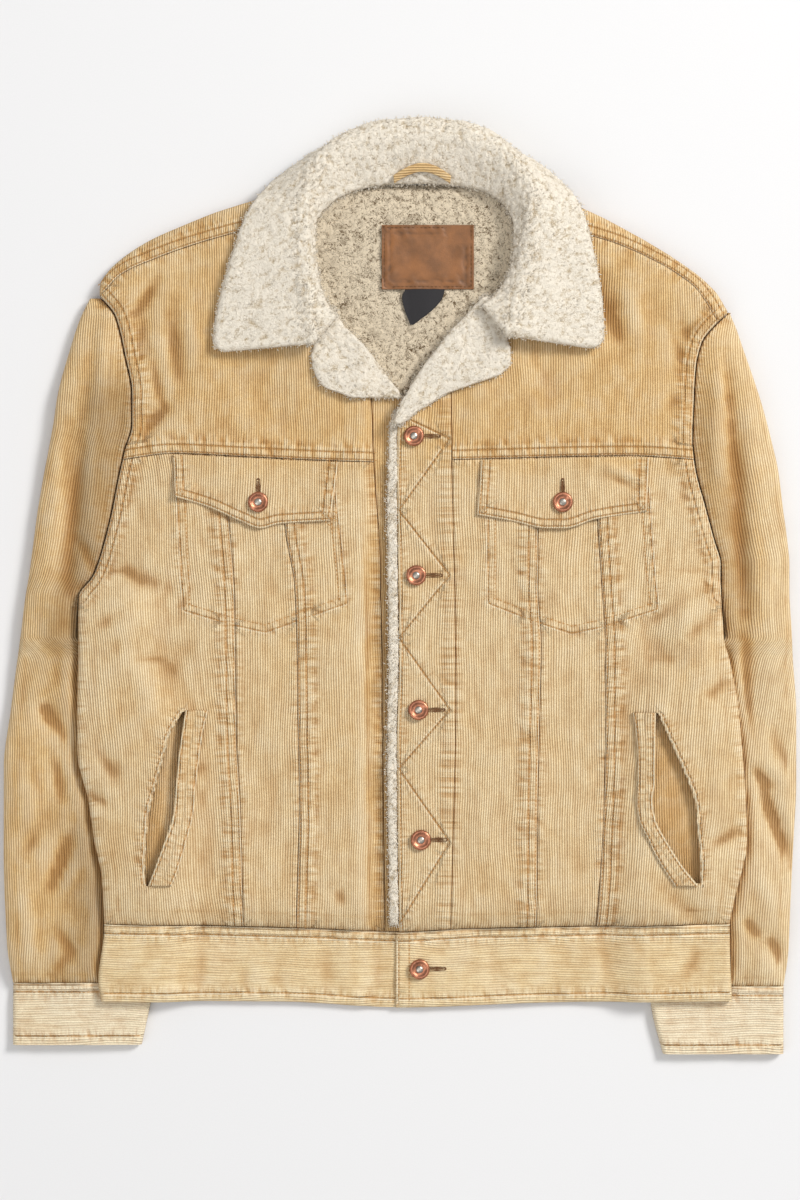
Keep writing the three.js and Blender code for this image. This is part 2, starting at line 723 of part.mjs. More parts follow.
function geometryOf(solid) {
  const mesh = solid.getMesh();
  const geometry = new THREE.BufferGeometry();
  geometry.setAttribute("position", new THREE.BufferAttribute(mesh.vertProperties, 3));
  geometry.setIndex(new THREE.BufferAttribute(mesh.triVerts, 1));
  return geometry;
}

const block = (plan, low, high) => solidOf(wall(raised(plan, high), raised(plan, low)));

// A grid of points whose outermost rows and columns are moved outwards by REACH.
function grown(plan, height) {
  const lastRow = plan.length - 1;
  const lastColumn = plan[0].length - 1;
  const outwards = (i, last) => (i === last ? REACH : 0) - (i === 0 ? REACH : 0);
  return plan.map((row, r) =>
    row.map(([x, y], c) => [x + outwards(c, lastColumn), y - outwards(r, lastRow), height(x, y)]),
  );
}

// The room that a piece takes up from below, and the one that it takes up from above.
const roomBelow = (plan, high) =>
  solidOf(wall(grown(plan, (x, y) => high(x, y) + GAP), grown(plan, () => -FAR)));
const roomAbove = (plan, low) =>
  solidOf(wall(grown(plan, () => FAR), grown(plan, (x, y) => low(x, y) - GAP)));

// A piece over a plan between two heights, less the room of the pieces that it lies on.
function piece(bounds, low, high, rooms = [], sunk = rooms.length > 0 ? SUNK : 0) {
  const plan = planGrid(bounds);
  const start = block(plan, (x, y) => low(x, y) - sunk, high);
  const solid = rooms.reduce((body, room) => body.subtract(room), start);
  return { solid, plan, room: roomBelow(plan, high) };
}

const jacket = new THREE.Group();

function add(name, finish, geometry) {
  const mesh = new THREE.Mesh(geometry, new THREE.MeshStandardMaterial(FINISHES[finish]));
  mesh.name = name;
  jacket.add(mesh);
}

function addPiece(name, finish, made) {
  add(name, finish, geometryOf(made.solid));
  return made;
}

const constant = (value) => () => value;

// The back: its panel and a yoke that comes over the shoulders to the front
function addBack() {
  const across = shares(16, "both");
  const edges = { right: rightEdge, left: leftEdge, across };
  const seam = constant(BACK_YOKE_SEAM);
  const back = addPiece("back_panel", "corduroy", piece(
    { ...edges, top: seam, bottom: bandSeam, down: shares(13) },
    bodyUnder,
    backTop,
  ));
  const flat = piece(
    { ...edges, top: topLine, bottom: seam, down: shares(6, "start") },
    bodyUnder,
    backTop,
  );
  const fused = (x, y) => backTop(x, y) - SHOULDER_SINK;
  const over = (right, left) =>
    piece({
      right,
      left,
      top: topLine,
      bottom: shoulderSeam,
      across: shares(YOKE_CELLS),
      down: shares(2),
    }, fused, frontTop);
  const overRight = over(rightEdge, rightFrontEdge);
  const overLeft = over(leftYokeEdge, leftEdge);
  add("back_yoke", "corduroy", geometryOf(flat.solid.add(overRight.solid).add(overLeft.solid)));
  const band = addPiece("waistband_back", "corduroy", piece(
    { ...edges, top: bandSeam, bottom: hem, down: shares(2) },
    bodyUnder,
    backTop,
  ));
  return { back, yoke: flat, band };
}

// The right front, then the left front that laps over it
function addRightFront({ back, yoke, band }) {
  const long = { top: yokeSeam, bottom: bandSeam, down: shares(FRONT_ROWS, "both") };
  const behind = [back.room, band.room];
  const onBack = (bounds) => piece(bounds, backTop, rightTop, behind);
  const yokePiece = addPiece("front_yoke_right", "corduroy", piece(
    {
      right: rightEdge,
      left: rightFrontEdge,
      top: shoulderSeam,
      bottom: yokeSeam,
      across: shares(YOKE_CELLS),
      down: shares(9),
    },
    backTop,
    rightTop,
    [back.room, yoke.room],
  ));
  const side = addPocketed("right", {
    ...long,
    right: rightEdge,
    left: frontSeam("rightOuter"),
    across: shares(6, "start"),
  }, back, behind);
  const middle = addPiece("front_middle_right", "corduroy", onBack(
    { ...long, right: frontSeam("rightOuter"), left: frontSeam("rightInner"), across: shares(3) },
  ));
  const centre = addPiece("front_centre_right", "corduroy", onBack(
    { ...long, right: frontSeam("rightInner"), left: rightFrontEdge, across: shares(5) },
  ));
  const placket = addPiece("placket_right", "corduroy", piece(
    {
      ...long,
      right: rightFrontEdge,
      left: curve(UNDER_PLACKET_END, "y", "x"),
      top: constant(RIGHT_PLACKET_TOP),
      across: shares(3),
    },
    backTop,
    lapTop,
    behind,
  ));
  const waist = addPiece("waistband_right", "corduroy", piece(
    {
      right: rightEdge,
      left: constant(UNDER_PLACKET_EDGE),
      top: bandSeam,
      bottom: hem,
      across: shares(14),
      down: shares(2),
    },
    backTop,
    rightTop,
    behind,
  ));
  return { yoke: yokePiece, side, middle, centre, placket, waist };
}

function addLeftFront({ back, yoke, band }, lap) {
  const long = { top: yokeSeam, bottom: bandSeam, down: shares(FRONT_ROWS, "both") };
  const behind = [back.room, band.room];
  const under = [...behind, lap.placket.room, lap.waist.room];
  const yokePiece = addPiece("front_yoke_left", "corduroy", piece(
    {
      right: leftYokeEdge,
      left: leftEdge,
      top: shoulderSeam,
      bottom: yokeSeam,
      across: shares(YOKE_CELLS),
      down: shares(9),
    },
    leftLow,
    frontTop,
    [...under, yoke.room],
  ));
  const side = addPocketed("left", {
    ...long,
    right: frontSeam("leftOuter"),
    left: leftEdge,
    across: shares(6, "end"),
  }, back, behind);
  const middle = addPiece("front_middle_left", "corduroy", piece(
    { ...long, right: frontSeam("leftInner"), left: frontSeam("leftOuter"), across: shares(3) },
    leftLow,
    frontTop,
    behind,
  ));
  const centre = addPiece("front_centre_left", "corduroy", piece(
    { ...long, right: placketSeam, left: frontSeam("leftInner"), across: shares(5) },
    leftLow,
    frontTop,
    under,
  ));
  const placket = addPiece("placket_left", "corduroy", piece(
    {
      ...long,
      right: leftFrontEdge,
      left: placketSeam,
      top: constant(LEFT_PLACKET_TOP),
      across: shares(3),
    },
    leftLow,
    frontTop,
    [...under, yoke.room],
  ));
  addPiece("waistband_left", "corduroy", piece(
    {
      right: constant(LEFT_BAND_START),
      left: leftEdge,
      top: bandSeam,
      bottom: hem,
      across: shares(14),
      down: shares(2),
    },
    leftLow,
    frontTop,
    under,
  ));
  return { yoke: yokePiece, placket, side, middle, centre };
}

// A front side panel with its hand pocket: the bag behind it, the mouth cut through it, the welt on it
function addPocketed(name, bounds, back, rooms) {
  const rows = name === "right" ? RIGHT_POCKET : LEFT_POCKET;
  const free = curve(rows, "y", "free");
  const sewn = curve(rows, "y", "sewn");
  const far = curve(rows, "y", "far");
  const mirrored = (a, b) => (name === "right" ? { right: a, left: b } : { right: b, left: a });
  const out = name === "right" ? -BAG_MARGIN : BAG_MARGIN;
  const bagPlan = planGrid({
    ...mirrored((y) => far(y) + out, (y) => free(y) - out),
    top: constant(rows[0].y + BAG_MARGIN),
    bottom: constant(rows.at(-1).y - BAG_MARGIN),
    across: shares(2),
    down: shares(6),
  });
  const upTo = (extra) =>
    roomBelow(back.plan, (x, y) => backTop(x, y) + BAG_THICKNESS + extra);
  const column = solidOf(wall(grown(bagPlan, constant(FAR)), grown(bagPlan, constant(-FAR))));
  const bag = block(bagPlan, constant(-FAR), constant(FAR)).intersect(upTo(0));
  add(`pocket_bag_${name}`, "corduroy", geometryOf(bag.subtract(back.room)));
  const mouth = new THREE.Shape([
    ...rows.map((row) => new THREE.Vector2(row.free, row.y)),
    ...rows.toReversed().map((row) => new THREE.Vector2(row.far, row.y)),
  ]);
  const cut = solidOf(new THREE.ExtrudeGeometry(mouth, { depth: FAR, bevelEnabled: false }));
  const side = piece(bounds, backTop, frontTop, [...rooms, column.intersect(upTo(GAP))]);
  add(`front_side_${name}`, "corduroy", geometryOf(side.solid.subtract(cut)));
  addPiece(`welt_${name}`, "corduroy", laidOn(
    {
      ...mirrored(free, sewn),
      top: constant(rows[0].y),
      bottom: constant(rows.at(-1).y),
      across: shares(2),
      down: shares(9),
    },
    frontTop,
    WELT_THICKNESS,
    [side.room],
  ));
  return side;
}

// A flat piece that lies on a surface.
function laidOn(bounds, surface, thickness, rooms) {
  const low = (x, y) => surface(x, y) + LAID_ON;
  return piece(bounds, low, (x, y) => low(x, y) + thickness, rooms, 0);
}

// The sleeves: an under and an upper wall each, pressed down where the body lies on them, and the cuffs
function addSleeves({ back, band }) {
  const pressed = [roomAbove(back.plan, bodyUnder), roomAbove(band.plan, bodyUnder)];
  for (const [name, side] of Object.entries(SIDES)) {
    const edges = side.sign < 0
      ? { right: side.outer, left: side.inner }
      : { right: side.inner, left: side.outer };
    const long = { ...edges, top: constant(side.top), bottom: constant(side.cuffTop) };
    const split = (x, y) => sleeveSplit(side, x, y);
    const under = addPiece(`sleeve_${name}_under`, "corduroy", piece(
      { ...long, across: shares(6, "both"), down: shares(SLEEVE_ROWS) },
      (x, y) => sleeveUnder(side, x, y),
      split,
    ));
    const upper = piece(
      { ...long, across: shares(8, "both"), down: shares(SLEEVE_ROWS) },
      split,
      (x, y) => sleeveFree(side, x, y),
      [under.room],
    );
    const solid = pressed.reduce((body, room) => body.subtract(room), upper.solid);
    add(`sleeve_${name}_upper`, "corduroy", geometryOf(solid));
    addCuff(name, side);
  }
}

function addCuff(name, side) {
  const edges = side.sign < 0
    ? { right: side.cuffOuter, left: side.cuffInner }
    : { right: side.cuffInner, left: side.cuffOuter };
  const turn = (x, y) => {
    const fromOuter = side.sign * (side.cuffOuter(y) - x);
    const fromInner = side.sign * (x - side.cuffInner(y));
    return 1 - quarterRound(Math.min(fromOuter, fromInner) / TUCK_WIDTH);
  };
  const bounds = {
    ...edges,
    top: constant(side.cuffTop),
    bottom: constant(side.cuffEnd),
    across: shares(8, "both"),
    down: shares(2),
  };
  const middle = EDGE_HEIGHT * SLEEVE_SPLIT;
  addPiece(`cuff_${name}_under`, "corduroy", piece(
    bounds,
    (x, y) => EDGE_TUCK * turn(x, y),
    constant(middle),
  ));
  addPiece(`cuff_${name}_upper`, "corduroy", piece(
    bounds,
    constant(middle + GAP),
    (x, y) => EDGE_HEIGHT - EDGE_TUCK * turn(x, y),
  ));
}

// Chest flaps, sewn into the yoke seams
function addFlaps(right, left) {
  const flapSide = (column) => curve(FLAP_SIDES, "y", column);
  const underYoke = (x) => yokeSeam(x) - 1;
  const flap = (name, front, edge, rightSide, leftSide) => addPiece(name, "corduroy", laidOn(
    {
      right: rightSide,
      left: leftSide,
      top: underYoke,
      bottom: curve(edge, "x", "y"),
      across: shares(10),
      down: shares(3),
    },
    frontTop,
    FLAP_THICKNESS,
    [front.side.room, front.middle.room, front.centre.room, front.yoke.room],
  ));
  flap("flap_right", right, RIGHT_FLAP, flapSide("right"), flapSide("left"));
  flap("flap_left", left, LEFT_FLAP, flapSide("leftFlapRight"), flapSide("leftFlapLeft"));
}

// What shows of the lining: in the neck, on the lapels and along the left front's edge
function addLining({ back, yoke }, right, left) {
  const ends = (rows) => ({ top: constant(rows[0].y), bottom: constant(rows.at(-1).y) });
  const liningTop = (x, y) => backTop(x, y) + GAP + LINING_THICKNESS;
  const neck = addPiece("neck_lining", "sherpa", piece(
    {
      ...ends(NECK_LINING),
      right: curve(NECK_LINING, "y", "right"),
      left: curve(NECK_LINING, "y", "left"),
      across: shares(6),
      down: shares(9),
    },
    backTop,
    liningTop,
    [back.room, yoke.room],
  ));
  addPiece("lapel_right", "sherpa", laidOn(
    {
      ...ends(RIGHT_LAPEL),
      right: curve(RIGHT_LAPEL, "y", "outer"),
      left: curve(RIGHT_LAPEL, "y", "inner"),
      across: shares(5),
      down: shares(6),
    },
    rightTop,
    LAPEL_THICKNESS,
    [right.yoke.room, right.placket.room],
  ));
  addPiece("lapel_left", "sherpa", laidOn(
    {
      ...ends(LEFT_LAPEL),
      right: curve(LEFT_LAPEL, "y", "inner"),
      left: curve(LEFT_LAPEL, "y", "outer"),
      across: shares(5),
      down: shares(9),
    },
    frontTop,
    LAPEL_THICKNESS,
    [left.yoke.room, left.placket.room],
  ));
  addPiece("pile_edge", "sherpa", piece(
    {
      ...ends(PILE_EDGE),
      right: curve(PILE_EDGE, "y", "inner"),
      left: curve(PILE_EDGE, "y", "outer"),
      across: shares(2),
      down: shares(FRONT_ROWS, "both"),
    },
    lapTop,
    (x, y) => frontTop(x, y) - PILE_EDGE_DROP,
    [right.centre.room, right.placket.room],
  ));
  const flatPiece = ({ x, y, width, height, thickness }) => laidOn(
    {
      right: constant(x - width / 2),
      left: constant(x + width / 2),
      top: constant(y + height / 2),
      bottom: constant(y - height / 2),
      across: shares(3),
      down: shares(3),
    },
    liningTop,
    thickness,
    [neck.room],
  );
  addPiece("neck_patch", "patch", flatPiece(PATCH));
  addPiece("care_label", "care_label", flatPiece(CARE_LABEL));
}

// A point of the collar's middle surface: `station` runs round the neck, `share` from seam to edge.
const collarColumn = Object.fromEntries(
  Object.keys(COLLAR[0]).map((key) => [
    key,
    curve(COLLAR.map((row, index) => ({ index, value: row[key] })), "index", "value"),
  ]),
);

function collarPoint(station, share) {
  const at = (key) => collarColumn[key](station);
  const neck = new THREE.Vector3(at("neckX"), at("neckY"), at("neckZ"));
  const roll = new THREE.Vector3(at("rollX"), at("rollY"), at("rollZ"));
  const edge = new THREE.Vector3(at("edgeX"), at("edgeY"), at("edgeZ"));
  const tuck = at("tuck");
  const level = (v) => v.setZ(0).normalize().multiplyScalar(ROLL_REACH);
  const before = roll.clone().sub(level(roll.clone().sub(neck)));
  const after = roll.clone().add(level(edge.clone().sub(roll)));
  before.z -= ROLL_DROP;
  after.z -= ROLL_DROP + tuck;
  roll.z -= tuck / 2;
  const path = new THREE.CatmullRomCurve3([neck, before, roll, after, edge], false, "centripetal");
  return path.getPoint(share);
}

function collarNormal(station, share) {
  const step = COLLAR_STEP;
  const round = collarPoint(station + step, share).sub(collarPoint(station - step, share));
  const out = collarPoint(station, Math.min(1, share + step)).sub(
    collarPoint(station, Math.max(0, share - step)),
  );
  return round.cross(out).normalize();
}

function collarFace(station, share, off) {
  const end = COLLAR.length - 1;
  const inside = Math.min(end - COLLAR_STEP, Math.max(COLLAR_STEP, station));
  const normal = collarNormal(inside, share);
  return collarPoint(station, share).add(normal.multiplyScalar(off));
}

function addCollar() {
  const stations = shares(COLLAR_CELLS).map((t) => t * (COLLAR.length - 1));
  const face = (off) =>
    stations.map((s) => COLLAR_SHARES.map((t) => collarFace(s, t, off).toArray()));
  add("collar", "sherpa", wall(face(COLLAR_THICKNESS / 2), face(-COLLAR_THICKNESS / 2)));
  const loopShares = shares(LOOP_CELLS);
  const loopFace = (off) => loopShares.map((t) => {
    const station = mix(LOOP.from, LOOP.to, t);
    const middle = LOOP.along + LOOP.bow * Math.sin(Math.PI * t);
    return [-0.5, 0.5].map((half) => {
      const share = middle + half * LOOP.width;
      return collarFace(station, share, COLLAR_THICKNESS / 2 + 2 * LAID_ON + off).toArray();
    });
  });
  add("hanger_loop", "corduroy", wall(loopFace(LOOP_THICKNESS), loopFace(0)));
}

// Shank buttons: a dished ring round a stud
function addButtons() {
  const profile = BUTTON_PROFILE.map(({ radius, height }) => new THREE.Vector2(radius, height));
  for (const { name, x, y, on } of BUTTONS) {
    const geometry = new THREE.LatheGeometry(profile, BUTTON_FACETS);
    geometry.rotateX(Math.PI / 2);
    const base = frontTop(x, y) + (on === "flap" ? LAID_ON + FLAP_THICKNESS : 0);
    geometry.translate(x, y, base + LAID_ON);
    add(name, "copper", geometry);
  }
}

const behind = addBack();
const right = addRightFront(behind);
const left = addLeftFront(behind, right);
addSleeves(behind);
addFlaps(right, left);
addLining(behind, right, left);
addCollar();
addButtons();

export default jacket;
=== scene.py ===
"""Looks of a sherpa lined corduroy jacket that lies flat with its front upwards.

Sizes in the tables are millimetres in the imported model's frame: +X is the wearer's left, +Y runs
to the collar and +Z is up. Meshes are made in metres.
"""
import math
import bmesh
import bpy
import numpy as np
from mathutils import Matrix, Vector


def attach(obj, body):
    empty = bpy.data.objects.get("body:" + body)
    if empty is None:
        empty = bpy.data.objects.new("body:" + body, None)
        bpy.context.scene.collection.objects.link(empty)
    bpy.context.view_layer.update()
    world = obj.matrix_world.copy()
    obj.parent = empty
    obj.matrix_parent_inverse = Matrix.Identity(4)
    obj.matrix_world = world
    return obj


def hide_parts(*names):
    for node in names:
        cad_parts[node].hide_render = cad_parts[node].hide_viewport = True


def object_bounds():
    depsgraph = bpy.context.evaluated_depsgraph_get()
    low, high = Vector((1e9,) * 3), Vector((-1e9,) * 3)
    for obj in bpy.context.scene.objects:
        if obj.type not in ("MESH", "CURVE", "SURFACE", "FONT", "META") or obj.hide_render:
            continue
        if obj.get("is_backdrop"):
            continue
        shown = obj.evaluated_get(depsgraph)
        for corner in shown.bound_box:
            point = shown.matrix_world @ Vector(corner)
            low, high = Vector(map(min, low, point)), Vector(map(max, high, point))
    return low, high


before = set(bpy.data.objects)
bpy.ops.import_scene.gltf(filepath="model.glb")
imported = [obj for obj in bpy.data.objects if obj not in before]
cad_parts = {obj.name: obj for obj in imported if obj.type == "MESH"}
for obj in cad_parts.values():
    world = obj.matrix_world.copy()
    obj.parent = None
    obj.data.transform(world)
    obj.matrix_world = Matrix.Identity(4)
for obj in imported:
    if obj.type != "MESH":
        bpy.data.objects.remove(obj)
CAD_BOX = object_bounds()

bl_info = {
    "name": "Corduroy jacket with sherpa collar",
    "version": (1, 0, 0),
    "blender": (4, 5, 0),
    "location": "View3D > Sidebar > Jacket",
    "description": "Builds the cloth, pile, buttons and stitching of a jacket laid flat",
    "category": "Object",
}

MM = 0.001
GAP = 0.3
LOFT = 22
BACK_WALL = 9
EDGE_SHARE = 0.4
ARMHOLE_SHARE = 0.72
ARMPIT = -5
ARMPIT_FADE = 50
LAP_SHARE = 0.62
SIDE_ROUND = 40
HEM_ROUND = 30
SHOULDER_ROUND = 42
EDGE_TUCK = 1.5
TUCK_WIDTH = 14
EDGE_HEIGHT = LOFT * EDGE_SHARE
SLEEVE_LOFT = 19
SLEEVE_ROUND = 26
SLEEVE_FOLD_LIFT = 3
LIFT_SLOPE = 40
LIFT_SOAK = 0.4
BACK_YOKE_SEAM = 172
LAP_START = -36
LAP_WIDTH = 20
LEFT_STEP = 44
LEFT_STEP_WIDTH = 12
LAID_ON = 0.6
FLAP_THICKNESS = 3
WELT_THICKNESS = 2.6
LAPEL_THICKNESS = 7
LINING_THICKNESS = 5
COLLAR_THICKNESS = 8
ROLL_REACH = 7
BUTTON = {
    "radius": 8.7, "plate": 1.5, "plate_middle": 2.85, "rounding": 0.35, "shank_radius": 4,
    "shank": 2.1, "stud_radius": 3.3, "stud_middle": 3.7, "stud_share": 0.45,
}
BUTTON_FACE = ((1.0, 0.9), (1.2, 0.1), (1.0, -0.9), (1.3, -0.35))  # each ring's inset and rise
PHOTO_SCALE = 0.87  # millimetres on the table for each pixel of an 800 by 1200 frame
PHOTO_HEIGHT = 1200
PHOTO_CENTRE_Y = -11.3
LENS, SENSOR = 85, 36
FLOOR_SIZE, FLOOR_HEIGHT = 30, -0.0003  # metres
WORLD_LIGHT = 0.4
LIGHTS = (
    # name, place and width in metres, watts, colour
    ("key_light", (3.0, 2.2, 3.4), 1.4, 200, (1, 0.985, 0.96)),
    ("fill_light", (-2.6, -2.4, 3.0), 3.0, 38, (1, 1, 1)),
    ("top_light", (0, -0.2, 4.4), 3.4, 34, (1, 1, 1)),
)
SIDE_LEAN = 0.07  # of the side panels' ribs
SHOULDER_SUNK = 0.8  # depth of the shoulders' underside in the yoke that they are fused to
TWIN_ROWS = (1.6, 8)  # distances of a seam's two rows of stitches from it
NO_ROW = -30.0  # distance of a row of stitches that a seam doesn't have
OFFSET_STEP = 3  # between the points of a line that is moved sideways
DITCH_DEPTH, DITCH_WIDTH = 0.7, 1.3  # where two panels meet
ROW_DEPTH, ROW_WIDTH = 0.45, 1.1  # what a row of stitches draws in
GATHER_HEIGHT, GATHER_REACH = 0.62, 5.5  # puckers beside a seam
FOLD_STRENGTH = 1.6
FINE_FOLD_SPREAD = 1.5
SHADED_FOLD = 3.2  # rise of a fold that is shaded in full
# The tone paints a highlight on rises and shade in hollows of the cloth
FULL_TONE = 0.45  # rise over the cloth near it that gives the full tone
BORDER_TUFTS = 2  # for each point of the border
TUFT = {"length": 3.2, "width": 0.42, "scatter": 0.6, "lean": 0.7, "curl": 0.9, "lowest_root": 1.2,
        "lowest_tip": 0.4}
RIB_SWAY = 0.009  # metres that the ribs wander to a side
COLLAR_GRID = (410, 84)  # points round the neck and from stand to edge
COLLAR_STEP = 0.02  # from one point to the next for the collar's normals
# for each sleeve: painted shade beside the body and, on the outer side, washed out cloth with painted
# light
SLEEVE_WASH_AND_SHADE = {"right": (-1.2, 0.2), "left": (-0.6, 1.1)}  # beside the body, and on the outer side
SLEEVE_ACROSS = 110  # nominal width, for the count of cells
BAG_BEYOND = 13  # how far the pocket bags go on round the mouths
FLAP_CURL = {"x": -196, "y": 78, "reach": 26, "rise": 5}
LOOP = {"from": 6.15, "to": 8.05, "along": 0.03, "bow": 0.045, "width": 0.034, "thickness": 2.4,
        "rows": 60, "columns": 9}
KEYHOLE = {"length": 15, "width": 2.8, "thread": 0.55, "reach": 18}
SURFACES = {}  # the height of each sewn panel, by its name


def table(columns, *rows):
    """The rows of a table as one array for each named column."""
    return dict(zip(columns.split(), np.array(rows, float).T))


RIGHT_EDGE = table(
    "y x",
    (252, -260), (234, -246), (201, -238), (167, -232), (141, -232), (119, -238), (93, -244),
    (63, -250), (32, -258), (10, -266), (-8, -278), (-50, -278), (-101, -279), (-140, -279),
    (-187, -269), (-221, -264), (-250, -258), (-296, -256), (-340, -261), (-359, -258),
)
LEFT_EDGE = table(
    "y x",
    (237, 284), (227, 273), (211, 261), (189, 256), (155, 254), (128, 253), (102, 256),
    (71, 264), (41, 272), (19, 278), (-3, 278), (-46, 280), (-60, 284), (-101, 292), (-132, 295),
    (-187, 299), (-221, 300), (-243, 296), (-271, 289), (-296, 285), (-359, 287),
)
TOP_LINE = table(
    "x y",
    (-266, 256), (-249, 278), (-220, 299), (-190, 313), (-157, 326), (-96, 343), (-61, 348),
    (17, 345), (91, 348), (126, 341), (171, 323), (196, 310), (238, 285), (272, 258), (285, 238),
)
SHOULDER_SEAM = table(
    "x y",
    (-257, 254), (-241, 270), (-220, 280), (-170, 298), (-110, 313), (-80, 318), (100, 316),
    (130, 311), (179, 299), (219, 282), (251, 262), (263, 248), (273, 231),
)
YOKE_SEAM = table(
    "x y",
    (-240, 110), (-196, 115), (-130, 112), (-24, 108), (60, 110), (200, 113), (253, 110),
)
BAND_SEAM = table(
    "x y",
    (-257, -291), (-178, -293), (-69, -296), (0, -299), (60, -296), (160, -294), (285, -291),
)
HEM = table(
    "x y",
    (-258, -359), (-105, -360), (0, -365), (123, -361), (287, -358),
)
RIGHT_FRONT_EDGE = table(
    "y x",
    (318, -82), (290, -80), (260, -72), (241, -64), (222, -46), (200, -31), (163, -25),
    (110, -23), (20, -17), (-292, -13),
)
LEFT_FRONT_EDGE = table(
    "y x",
    (176, 10), (158, 3), (143, -2), (100, -3), (-59, -1), (-132, -3), (-300, -1),
)
LEFT_YOKE_EDGE = table(
    "y x",
    (316, 101), (290, 98), (258, 89), (240, 69), (217, 50), (190, 44.3), (176, 44), (110, 44.9),
)
PLACKET_SEAM = table(
    "y x",
    (176, 44), (88, 45), (-20, 47.4), (-114, 47.8), (-200, 46), (-298, 43.6),
)
UNDER_PLACKET_END = table(
    "y x",
    (166, 5), (156, 18), (140, 40), (-298, 40),
)
FRONT_SEAMS = table(
    "y rightOuter rightInner leftInner leftOuter",
    (114, -151, -102, 118, 169), (51, -147, -99, 119, 171), (0, -143, -91, 119, 174),
    (-50, -142, -89, 122, 177), (-130, -141, -88, 120, 177), (-184, -138, -87, 119, 176),
    (-296, -135, -90, 118, 170),
)
RIGHT_SLEEVE = table(
    "y outer inner",
    (250, -269, -260.5), (234, -277, -247.5), (204, -287, -239.8), (167, -297, -233),
    (141, -301, -233), (119, -305, -239.2), (93, -310, -245.2), (63, -315, -251.2),
    (32, -319, -260), (10, -322, -270), (-8, -325, -281.5), (-40, -329, -281), (-62, -332, -240),
    (-107, -338, -214), (-157, -344, -205), (-226, -344, -202), (-310, -341, -207),
    (-343, -336, -212),
)
LEFT_SLEEVE = table(
    "y outer inner",
    (238, 286, 284.5), (231, 289, 279), (224, 292, 271.5), (209, 297, 261.5), (189, 304, 257),
    (155, 315, 255),
    (128, 322, 254), (102, 328, 257), (71, 332, 265.2), (41, 336, 274), (19, 338, 281),
    (-3, 338, 282), (-40, 340, 283), (-62, 341, 250), (-110, 344, 228), (-171, 344, 216),
    (-212, 342, 213), (-271, 339, 213), (-318, 337, 214), (-346, 333, 215),
)
RIGHT_CUFF = table(
    "y outer inner",
    (-343, -336, -212), (-360, -336, -216), (-397, -336, -224),
)
LEFT_CUFF = table(
    "y outer inner",
    (-346, 333, 216), (-365, 333, 218), (-405, 333, 228),
)
BODY_LIFT = table(
    "y rise",
    (14, 0), (-34, 13), (-250, 13), (-300, 11), (-370, 11),
)
SLEEVE_FOLDS = table(
    "fromX fromY toX toY width rise",
    (-258, 232, -266, 20, 12, 6), (-285, 140, -288, -30, 9, -5), (-306, -95, -288, -135, 8, -4),
    (-281, -205, -303, -256, 9, -4), (-281, -308, -298, -334, 8, -4), (276, 205, 283, 95, 11, 5),
    (284, 160, 297, -20, 9, -6), (311, -168, 336, -240, 9, -4), (318, -300, 331, -328, 8, -3),
)
BODY_FOLDS = table(
    "fromX fromY toX toY width rise",
    (-216, 262, -228, 188, 9, -4), (-197, 232, -190, 172, 9, -4), (-228, 128, -196, 160, 9, -3),
    (178, 268, 190, 205, 10, -4), (238, 222, 246, 180, 9, -4), (-250, 20, -205, 0, 10, -3),
    (262, 0, 215, -30, 10, -3),
)
RIGHT_FLAP = table(
    "x y",
    (-196, 78), (-164, 68), (-137, 56), (-120, 50), (-104, 54), (-51, 57),
)
LEFT_FLAP = table(
    "x y",
    (65, 62), (98, 56), (126, 50), (142, 50), (169, 58), (215, 65),
)
FLAP_SIDES = table(
    "y right left leftFlapRight leftFlapLeft",
    (113, -196, -52, 70, 215), (48, -192, -61, 65, 212),
)
RIGHT_POCKET = table(
    "y sewn free far",
    (-106, -165, -185, -186.5), (-127, -170, -188, -198), (-150, -173, -191, -204),
    (-176, -176, -193, -211), (-197, -178, -195, -216), (-221, -184, -203, -218),
    (-245, -191, -212, -219), (-257, -196, -216.5, -218),
)
LEFT_POCKET = table(
    "y sewn free far",
    (-108, 200, 220, 221.5), (-130, 203, 219.5, 231), (-150, 204, 219, 240),
    (-166, 204, 219, 247), (-184, 203, 217, 253), (-200, 205, 219.5, 255), (-215, 212, 227, 256),
    (-239, 224, 242, 258), (-257, 236, 256.5, 258),
)
RIGHT_LAPEL = table(
    "y inner outer",
    (226, -52, -70), (212, -38, -73), (199, -27, -76), (186, -17, -74), (174, -8, -68),
    (163, 0, -42),
)
LEFT_LAPEL = table(
    "y inner outer",
    (236, 62, 84), (217, 44, 91), (205, 35, 95), (194, 26, 95), (184, 19, 88), (174, 13, 62),
    (166, 9, 40), (158, 4, 27), (150, 0.5, 14), (140, -4, 2),
)
COLLAR = table(
    "neckX neckY neckZ rollX rollY rollZ tuck edgeX edgeY edgeZ",
    (-54, 231, 35, -74, 208, 40, 0, -163, 201, 28),
    (-67, 252, 31, -80, 242, 39, 0, -157, 240, 28),
    (-74, 279, 29, -84, 285, 38, 0, -146, 281, 28),
    (-75, 308, 26, -83, 331, 37, 0, -130, 324, 24),
    (-60, 331, 21, -69, 364, 35, 3, -99, 356, 13), (-34, 344, 16, -43, 390, 32, 16, -62, 373, 5),
    (-9, 348, 14, -14, 399, 31, 19, -22, 369, 4.5), (17, 349, 14, 17, 401, 31, 19, 17, 368, 4.5),
    (42, 348, 14, 48, 399, 31, 19, 56, 369, 4.5), (66, 344, 16, 77, 389, 32, 16, 97, 372, 5),
    (88, 332, 21, 101, 364, 35, 3, 133, 353, 13), (99, 309, 26, 114, 333, 37, 0, 156, 325, 24),
    (98, 283, 29, 112, 290, 38, 0, 167, 285, 28), (88, 258, 31, 102, 250, 39, 0, 174, 244, 28),
    (70, 241, 35, 91, 215, 40, 0, 176, 203, 28),
)
